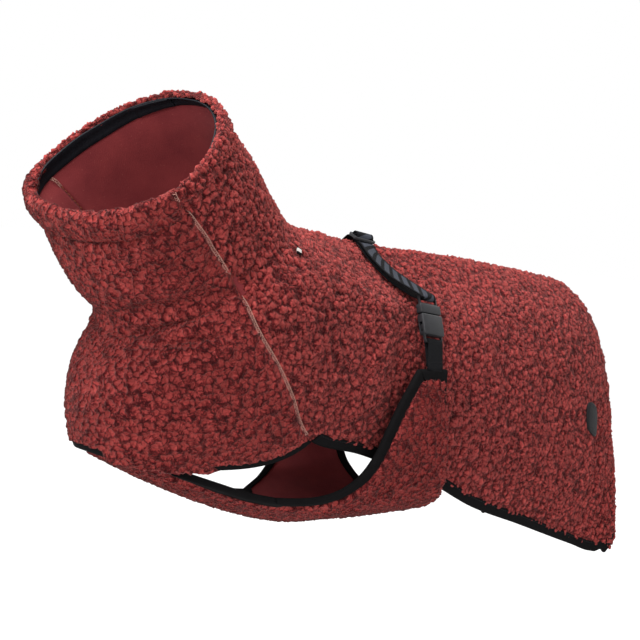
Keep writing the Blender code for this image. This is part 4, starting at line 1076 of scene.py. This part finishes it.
def make_bindings():
    stitches, made = [], {"back": [], "front": [], "belly": []}

    def add(group, node, skin, skin_normals, cut, edge, ways, fix=None):
        edge = np.asarray(edge, float)
        full = edge + depth_step(skin, cut, edge, ways)
        if fix:
            full = fix(full)
        made[group].append(binding(node, skin, skin_normals, cut, edge, full, stitches))

    v = even(body, back_cut, False, (SEAM_FOOT + 0.02) / REAR, 1, STATION, [0.0, 1.0], 1)
    last = depth_step(body, back_cut, [(0.5, 1.0)], [(0.0, -1.0)])[0, 1]

    def square_v(full):
        return np.stack([full[:, 0], np.minimum(full[:, 1], 1 + last)], axis=-1)

    for side, u, turn in (("left", 0.0, 1.0), ("right", 1.0, -1.0)):
        edge = np.stack([np.full(len(v), u), v], axis=-1)
        ways = np.tile([turn, 0.0], (len(v), 1))
        name = f"back_hem_binding_{side}"
        add("back", name, body, body_normals, back_cut, edge, ways, square_v)
    u = even(body, back_cut, True, 0, 1, STATION, [1.0], 1)
    wide = depth_step(body, back_cut, [(0.0, 0.98)], [(1.0, 0.0)])[0, 0]

    def square_u(full):
        return np.stack([np.clip(full[:, 0], wide, 1 - wide), full[:, 1]], axis=-1)

    edge = np.stack([u, np.ones(len(u))], axis=-1)
    ways = np.tile([0.0, -1.0], (len(u), 1))
    add("back", "back_hem_binding_rear", body, body_normals, back_cut, edge, ways, square_u)
    u = even(body, front_cut, True, 0.006, 0.994, STATION, [1.0], 1)
    edge = np.stack([u, np.ones(len(u))], axis=-1)
    ways = np.tile([0.0, -1.0], (len(u), 1))
    add("front", "chest_hem_binding", body, body_normals, front_cut, edge, ways)
    for side, turn in (("left", 1.0), ("right", -1.0)):
        lines = even(belly, belly_cut, True, turn * TIP, turn * 1.0, STATION, [0.0], 1)
        edge = [(line, 0.0) for line in lines]
        ways = [(0.0, 1.0)] * len(lines)
        edge += [(turn, 0.0)] * 3
        ways += [(-turn * 0.35, 0.75), (-turn * 0.7, 0.5), (-turn * 0.9, 0.2)]
        alongs = even(belly, belly_cut, False, 0, -1, STATION, [turn], 1)
        edge += [(turn, along) for along in alongs]
        ways += [(-turn, 0.0)] * len(alongs)
        tip_wide = abs(depth_step(belly, belly_cut, [(turn * TIP, 0.5)], [(-turn, 0.0)])[0, 0])

        def square_tip(full, turn=turn, tip_wide=tip_wide):
            return np.stack([np.clip(full[:, 0], -TIP + tip_wide, TIP - tip_wide), full[:, 1]], axis=-1)

        name = f"belly_binding_front_{side}"
        add("belly", name, belly, belly_normals, belly_cut, edge, ways, square_tip)
        alongs = np.linspace(0, 1, 14)
        edge = [(turn * TIP, along) for along in alongs]
        front_wide, rear_wide = (
            abs(depth_step(belly, belly_cut, [(turn * TIP, end)], [(0.0, way)])[0, 1])
            for end, way in ((0.0, 1.0), (1.0, -1.0))
        )

        def square_ends(full, front_wide=front_wide, rear_wide=rear_wide):
            return np.stack([full[:, 0], np.clip(full[:, 1], front_wide, 1 - rear_wide)], axis=-1)

        name = f"belly_binding_tip_{side}"
        ways = [(-turn, 0.0)] * len(alongs)
        add("belly", name, belly, belly_normals, belly_cut, edge, ways, square_ends)
    lines = even(belly, belly_cut, True, -TIP, TIP, STATION, [1.0], 1)
    edge = [(line, 1.0) for line in lines]

    def square_both(full):
        return np.stack([np.clip(full[:, 0], -TIP + 0.25, TIP - 0.25), full[:, 1]], axis=-1)

    ways = [(0.0, -1.0)] * len(lines)
    add("belly", "belly_binding_rear", belly, belly_normals, belly_cut, edge, ways, square_both)
    stitched("binding_stitches", stitches, 0.00028, DARK_THREAD)
    return made


def make_collar_tape():
    """The tape round the inside, under the rolled rim, with its lapped end near the nape."""
    shape = np.array(
        [(0.20, 0.0), (0.28, -0.0002), (0.55, -0.0004), (0.95, -0.0004), (1.20, -0.0002), (1.26, 0.0)]
        + [(1.24, 0.0009), (0.95, 0.0011), (0.55, 0.0011), (0.26, 0.0010)]
    )
    angle = np.linspace(0, 360, 240, endpoint=False)
    row = np.repeat(shape[None, :, 0], len(angle), axis=0)
    turned = np.repeat(angle[:, None], len(shape), axis=1)
    wavy = 0.04 * np.sin(np.radians(turned) * 5 + 1.1) + 0.03 * np.sin(np.radians(turned) * 11)
    row = row + wavy * 0.5
    depth = coat_thickness(row) + 0.0006 + shape[None, :, 1]
    points = body(row, turned) - body_normals(row, turned) * depth[..., None]
    ring = swept("collar_tape_ring", points, closed=True)
    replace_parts(new_object(ring.name, ring, COLLAR_TAPE), "collar_tape")
    lap = np.linspace(-38, -14, 14)
    row = np.repeat(shape[None, :, 0], len(lap), axis=0)
    row = 0.66 + (row - 0.66) * 0.97
    turned = np.repeat(lap[:, None], len(shape), axis=1)
    puff = 0.0012 + 0.0007 * np.sin(np.linspace(0, np.pi, len(lap)))[:, None]
    depth = coat_thickness(row) + 0.0007 + puff + shape[None, :, 1] * 0.6
    points = body(row, turned) - body_normals(row, turned) * depth[..., None]
    new_object("collar_tape_lap", swept("collar_tape_lap", points), COLLAR_TAPE)


# The strap and its hard pieces


def over_body(angle, y, lift):
    angle, y, lift = np.broadcast_arrays(*np.atleast_1d(angle, y, lift))
    rows = np.linspace(SEAM_FOOT - 3, SEAM_FOOT + 5, 161)
    lines = body(rows, angle[:, None] + 0 * rows)
    row = np.array([np.interp(place, line[:, 1], rows) for place, line in zip(y, lines)])
    out = body_normals(row, angle)
    return body(row, angle) + out * lift[:, None], out


def buckle_frame():
    (top, foot), out = over_body(*np.transpose([BUCKLE_TOP, BUCKLE_FOOT]))
    along = unit(foot - top)
    out = unit(out.sum(axis=0))
    out = unit(out - along * (out @ along))
    return (top + foot) / 2, along, np.cross(out, along), out


def slider_frame():
    angle, y, lift = SLIDER_PLACE
    (middle, ahead), (out, _) = over_body([angle, angle + 8], [y, y - 0.004], lift)
    along = ahead - middle
    along = unit(along - out * (along @ out))
    return middle, along, np.cross(out, along), out


def from_frame(place, rows):
    middle, along, across, out = place
    rows = np.asarray(rows, float)
    return middle + rows[:, :1] * along + rows[:, 1:] * out, np.repeat([across], len(rows), axis=0)


def wrap(at, start, stop, count):
    turn = np.radians(np.linspace(start, stop, count))
    return np.stack([at + WRAP * np.sin(turn), WRAP * np.cos(turn)], axis=-1)


def over_fleece(table, count):
    at = np.linspace(0, len(table) - 1, count)
    place, out = over_body(*(column(table, STRAP_COLUMNS, name, at) for name in STRAP_COLUMNS))
    return place, np.cross(out, unit(np.gradient(place, axis=0)))


def tip_end(turn):
    """Where webbing meets a tip's binding, with the direction up from the tip and that across."""
    place = belly_cut(turn * TIP, 0.5)
    out = belly_normals(*place)
    middle = belly(*place) - out * (BOUND_DIP + CLOTH) / 2
    up = unit(belly(*place) - belly(*belly_cut(turn * (TIP - 0.1), 0.5)))
    across = unit(belly(*belly_cut(turn * TIP, 0.2)) - belly(*belly_cut(turn * TIP, 0.8)))
    return middle + up * 0.0020, up, across


def webbing(name, path, ways, node, upper):
    """Webbing along a path, with its own UV map.

    upper says from which length to which the webbing's upper layer, with the bars, runs.
    """
    path, ways = np.asarray(path, float), np.asarray(ways, float)
    way = lengths(path)
    keep = np.concatenate([[True], np.diff(way) > 1e-6])
    path, ways, way = path[keep], ways[keep], way[keep]
    count = max(24, round(way[-1] / 0.0016))
    at = np.linspace(0, way[-1], count)
    lines = places(at, way, path)
    across = unit(places(at, way, ways))
    for _ in range(2):
        lines[1:-1] = lines[1:-1] * 0.5 + (lines[:-2] + lines[2:]) * 0.25
    tangent = unit(np.gradient(lines, axis=0))
    across = unit(across - tangent * (across * tangent).sum(axis=-1, keepdims=True))
    up = np.cross(tangent, across)
    half, thick = WEBBING_WIDTH / 2, WEBBING_CLOTH / 2
    widths = [-half, -half + 0.0004, -half * 0.5, 0.0, half * 0.5, half - 0.0004, half]
    shape = [(w, thick * (0.35 if abs(w) > half - 1e-5 else 1.0)) for w in widths]
    shape += [(w, -h) for w, h in reversed(shape)]
    shape = np.array(shape)
    rings = lines[:, None] + across[:, None] * shape[None, :, :1] + up[:, None] * shape[None, :, 1:]
    mesh = swept(name, rings)
    layer = mesh.uv_layers.new(name="along_strap")
    sides = len(shape)
    vertex = np.empty(len(mesh.loops), int)
    mesh.loops.foreach_get("vertex_index", vertex)
    uv = np.stack([at[vertex // sides], shape[vertex % sides, 0]], axis=-1)
    layer.data.foreach_set("uv", uv.ravel())
    mesh.attributes.new(name="upper_layer", type="FLOAT", domain="POINT")
    share = smooth((at - upper[0]) / 0.002) * smooth((upper[1] - at) / 0.002)
    mesh.attributes["upper_layer"].data.foreach_set("value", np.repeat(share, sides))
    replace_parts(new_object(name, mesh, WEBBING), node)


def make_strap(buckle, slider):
    end, up, across = tip_end(-1)
    start = np.array([end, end + up * 0.004, end + up * 0.009])
    far = over_fleece(STRAP_FAR, 40)
    through = from_frame(slider, THROUGH_SLIDER)
    upper = over_fleece(STRAP_UPPER, 30)
    turned = from_frame(buckle, wrap(MALE_BAR, -10, 190, 13))
    lower = over_fleece(STRAP_LOWER, 26)
    hooked = from_frame(slider, [*UNDER_SLIDER, *wrap(0, 180, 395, 13)])
    parts = [start, far[0], through[0], upper[0], turned[0], lower[0], hooked[0]]
    ways = [np.repeat([-across], 3, axis=0), far[1], through[1], upper[1], turned[1]]
    ways += [-lower[1], hooked[1]]
    path, ways = np.concatenate(parts), np.concatenate(ways)
    ways[(ways @ slider[2]) < 0] *= -1
    way = lengths(path)
    first = sum(len(part) for part in parts[:2])
    last = sum(len(part) for part in parts[:4]) + 8
    webbing("girth_strap", path, ways, "strap_webbing", (way[first + 3], way[last]))
    end, up, across = tip_end(1)
    apart = (WEBBING_CLOTH + 0.0003) / 2 * buckle[3]
    turned, ways = from_frame(buckle, wrap(FEMALE_BAR, 30, -210, 15))
    face = buckle[3] * (BINDING_CLOTH + BIND_GAP + 0.0010)
    path = [end - up * 0.004 + face, end + up * 0.001 + face, end + up * 0.006 + apart, *turned]
    path += [end + up * 0.006 - apart, end - apart]
    across = across * np.sign(across @ buckle[2])
    ways = np.array([across, across, across, *ways, across, across])
    webbing("buckle_tab", path, ways, "strap_tab", (9.0, 9.1))
    # a box of stitches that holds the tab on the tip
    corners = ((0.0015, -0.008), (0.0015, 0.008), (0.0065, 0.008), (0.0065, -0.008), (0.0015, -0.008))
    face = end + apart + buckle[3] * (WEBBING_CLOTH / 2 + 0.0002)
    paths = []
    diagonals = [(corners[0], corners[2]), (corners[1], corners[3])]
    for (a, b), (c, d) in [*zip(corners[:-1], corners[1:]), *diagonals]:
        for k in range(6):
            at = np.linspace(k / 6, (k + 0.7) / 6, 3)
            paths.append([face + up * (a + (c - a) * t) + across * (b + (d - b) * t) for t in at])
    stitched("tab_stitches", paths, 0.00022, DARK_THREAD)


def dressed(name, material, bevel):
    """A copy of a hard node with its edges rounded."""
    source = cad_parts[name]
    mesh = source.data.copy()
    mesh.name = f"{name}_moulded"
    mesh.transform(source.matrix_world)
    mesh.materials.clear()
    obj = new_object(f"{name}_moulded", mesh, material)
    only(obj)
    bpy.ops.object.mode_set(mode="EDIT")
    bpy.ops.mesh.select_all(action="SELECT")
    bpy.ops.mesh.remove_doubles(threshold=1e-6)
    bpy.ops.mesh.dissolve_limited(angle_limit=math.radians(4))
    bpy.ops.object.mode_set(mode="OBJECT")
    apply(obj, "BEVEL", width=bevel, segments=2, limit_method="ANGLE", angle_limit=math.radians(40))
    apply(obj, "TRIANGULATE")
    only(obj)
    bpy.ops.object.shade_smooth_by_angle(angle=math.radians(35))
    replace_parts(obj, name)


def make_tag():
    """A small folded tag: a cream loop with dark ends, sewn on beside the neck's foot."""
    row, angle = TAG_PLACE
    out = body_normals(row, angle)
    along = unit(body(row + 0.1, angle) - body(row, angle))
    across = np.cross(out, along)
    width, length, thick = TAG_SIZE
    bpy.ops.object.select_all(action="DESELECT")
    bpy.ops.mesh.primitive_cube_add(size=1)
    obj = bpy.context.active_object
    obj.name = "nape_tag_cloth"
    bpy.ops.object.mode_set(mode="EDIT")
    bpy.ops.mesh.select_all(action="SELECT")
    bpy.ops.transform.resize(value=(width, length, thick))
    bpy.ops.mesh.subdivide(number_cuts=3)
    bpy.ops.object.mode_set(mode="OBJECT")
    apply(obj, "BEVEL", width=0.00035, segments=2, limit_method="ANGLE")
    mesh = obj.data
    for part in (TAG_CLOTH, BLACK_TAPE):
        mesh.materials.append(part)
    for face in mesh.polygons:
        face.material_index = int(abs(face.center.y) > length * 0.30)
    for vertex in mesh.vertices:  # it is a loop, fuller in the middle
        vertex.co.z += 0.0006 * (1 - (2 * vertex.co.y / length) ** 2) * (vertex.co.z > 0)
    middle = body(row, angle) + out * (thick / 2 + 0.0008)
    mesh.transform(placed(middle, along, across, out))
    mesh.shade_smooth()
    mesh.set_sharp_from_angle(angle=math.radians(40))
    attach(obj, "root")
    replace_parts(obj, "nape_tag")


PATCH_ROUND = 3.2


def rounded(a, b):
    """1 along the patch's rounded outline, less inside."""
    return (np.abs(a) ** PATCH_ROUND + np.abs(b) ** PATCH_ROUND) ** (1 / PATCH_ROUND)


def on_rump(a, b):
    """Row and angle of a place on the patch, whose sides are at -1 and 1."""
    row = np.mean(PATCH_ROWS) + a * (PATCH_ROWS[1] - PATCH_ROWS[0]) / 2
    return row, np.mean(PATCH_ANGLES) + b * (PATCH_ANGLES[1] - PATCH_ANGLES[0]) / 2


def make_patch():
    """A plain rounded patch on the left of the rump."""
    share = np.linspace(-1, 1, 25)
    a, b = np.meshgrid(share, share, indexing="ij")
    reach = np.maximum(np.abs(a), np.abs(b))
    length = rounded(a, b)
    scale = np.where(length > 0, reach / np.maximum(length, 1e-9), 1.0)
    row, angle = on_rump(a * scale, b * scale)
    puff = 0.0004 * (1 - reach**6)
    top = body(row, angle) + body_normals(row, angle) * (PATCH_LIFT + puff)[..., None]
    foot = body(row, angle) - body_normals(row, angle) * 0.0020
    present = np.ones((6, 6), bool)
    mesh = closed_cloth("rear_patch_cloth", top, foot, present, np.zeros(row.shape))
    obj = new_object("rear_patch_cloth", mesh, PATCH_CLOTH)
    mesh.polygons.foreach_set("material_index", [0] * len(mesh.polygons))
    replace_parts(obj, "rear_patch")
    turn = np.linspace(0, 2 * np.pi, 181)[:-1]
    reach = 0.86 / rounded(np.cos(turn), np.sin(turn))
    row, angle = on_rump(reach * np.cos(turn), reach * np.sin(turn))
    line = body(row, angle) + body_normals(row, angle) * (PATCH_LIFT + 0.0003)
    paths = [line[k : k + 3] for k in range(0, 178, 4)]
    stitched("patch_stitches", paths, 0.00022, DARK_THREAD)


def make_seam_stitches():
    """Flat seams: a ladder of thread over the shoulder seams, and stitches inside the collar."""
    paths, inside = [], []
    for sign in (1.0, -1.0):
        row = np.linspace(0.10, 9.9, 1400)
        angle = sign * column(SECTIONS, SECTION_COLUMNS, "edge", row)
        centre = body(row, angle)
        out = body_normals(row, angle)
        way = lengths(centre)
        along = unit(np.gradient(centre, axis=0))
        across = unit(np.cross(out, along))
        hidden = np.exp(-(((row - 1.5) / 0.45) ** 2)) + np.exp(-(((row - 4.9) / 0.42) ** 2))
        sunk = SEAM_DIP * smooth((row - 0.2) / 0.3) - 0.0004 + 0.0030 * hidden
        sunk = sunk - body_creases(row, angle) * smooth((row - 0.6) / 0.6)
        line = centre - out * sunk[:, None]

        def at(s, shift, line=line, across=across, way=way):
            return places(s, way, line) + places(s, way, across) * shift

        pitch, half = 0.0018, 0.0012
        steps = np.arange(0.001, way[-1] - 0.002, pitch)
        zigzag = []
        for k, s in enumerate(steps):
            zigzag.append(at(s, half if k % 2 else -half))
            zigzag.append(at(s + pitch * 0.45, half if k % 2 else -half))
        paths.append(zigzag)
        for shift in (-half * 1.05, half * 1.05):
            paths.append([at(s, shift) for s in np.arange(0.001, way[-1] - 0.002, 0.0015)])
        inner = centre - out * (coat_thickness(row) + 0.0005)[:, None]
        way = lengths(inner)
        for s in np.arange(way[np.searchsorted(row, 1.15)], way[-1] - 0.004, 0.0042):
            reach = s + np.linspace(0, 0.0030, 4)
            inside.append(places(reach, way, inner))
    stitched("seam_stitches", paths, 0.00027, SEAM_THREAD)
    stitched("lining_stitches", inside, 0.0003, LINING_THREAD)


# The studio


FLOOR_LEVEL = -0.62
FLOOR_SIZE = 60
LAMP_COLUMNS = "name place size power".split()
LAMPS = (
    ("key", (-0.10, -0.60, 1.80), 1.3, 62.0),
    ("front", (0.6, -1.9, 0.8), 1.2, 26.0),
    ("rear", (-0.2, 1.6, 1.4), 1.3, 6.0),
)
LAMPS_AIM = (0, 0, -0.1)


def make_studio():
    bpy.ops.object.select_all(action="DESELECT")
    bpy.ops.mesh.primitive_plane_add(size=FLOOR_SIZE, location=(0, 0, FLOOR_LEVEL))
    floor = bpy.context.active_object
    floor.name = "studio_floor"
    material, _, shader = new_shader("studio floor", 0.9, Specular_IOR_Level=0.0)
    shader.inputs["Base Color"].default_value = (0.45, 0.45, 0.45, 1)
    shader.inputs["Emission Color"].default_value = (1, 1, 1, 1)
    shader.inputs["Emission Strength"].default_value = 0.56
    floor.data.materials.append(material)
    world = bpy.data.worlds.new("soft studio")
    bpy.context.scene.world = world
    world.use_nodes = True
    background = world.node_tree.nodes["Background"]
    background.inputs[0].default_value = (1.0, 1.0, 1.0, 1)
    background.inputs[1].default_value = 1.0
    for name, place, size, power in LAMPS:
        light = bpy.data.lights.new(name, "AREA")
        light.shape = "DISK"
        light.size = size
        light.energy = power
        lamp = bpy.data.objects.new(name, light)
        lamp.location = place
        way = Vector(LAMPS_AIM) - Vector(place)
        lamp.rotation_euler = way.to_track_quat("-Z", "Y").to_euler()
        bpy.context.scene.collection.objects.link(lamp)
    settings = bpy.context.scene.view_settings
    settings.view_transform = "Standard"
    settings.look = "None"
    settings.exposure = 0.0


CAMERA_AZIMUTH = 48  # degrees round from the head towards the left side
CAMERA_ELEVATION = 4
CAMERA_ROLL = 5
CAMERA_DISTANCE = 1.25
CAMERA_TARGET = (-0.0248, -0.0246, -0.0722)
SENSOR_WIDTH = 36.0
FOCAL_PIXELS = 1250
PICTURE_PIXELS = 640


def make_camera():
    """A camera off to the left of the head, a little above, and tilted to the side."""
    azimuth, elevation, roll = map(math.radians, (CAMERA_AZIMUTH, CAMERA_ELEVATION, CAMERA_ROLL))
    level_part = math.cos(elevation)
    back = np.array(
        [math.sin(azimuth) * level_part, -math.cos(azimuth) * level_part, math.sin(elevation)]
    )
    level = np.array([math.cos(azimuth), math.sin(azimuth), 0.0])
    upright = np.cross(back, level)
    right = level * math.cos(roll) + upright * math.sin(roll)
    up = upright * math.cos(roll) - level * math.sin(roll)
    camera = bpy.data.cameras.new("camera")
    camera.sensor_fit = "HORIZONTAL"
    camera.sensor_width = SENSOR_WIDTH
    camera.lens = SENSOR_WIDTH * FOCAL_PIXELS / PICTURE_PIXELS
    camera.clip_start = 0.05
    camera.clip_end = 100.0
    obj = bpy.data.objects.new("camera", camera)
    obj.matrix_world = placed(np.array(CAMERA_TARGET) + back * CAMERA_DISTANCE, right, up, back)
    bpy.context.scene.collection.objects.link(obj)
    bpy.context.scene.camera = obj


make_studio()
make_camera()
back_piece, front_piece = make_panels()
belly_piece = make_belly_panel()
tapes = make_bindings()
make_collar_tape()
buckle_place, slider_place = buckle_frame(), slider_frame()
make_strap(buckle_place, slider_place)
for node in ("buckle_male", "buckle_female"):
    dressed(node, BUCKLE_GREY, 0.0003)
dressed("slider", SLIDER_GREY, 0.0004)
make_tag()
make_patch()
make_seam_stitches()
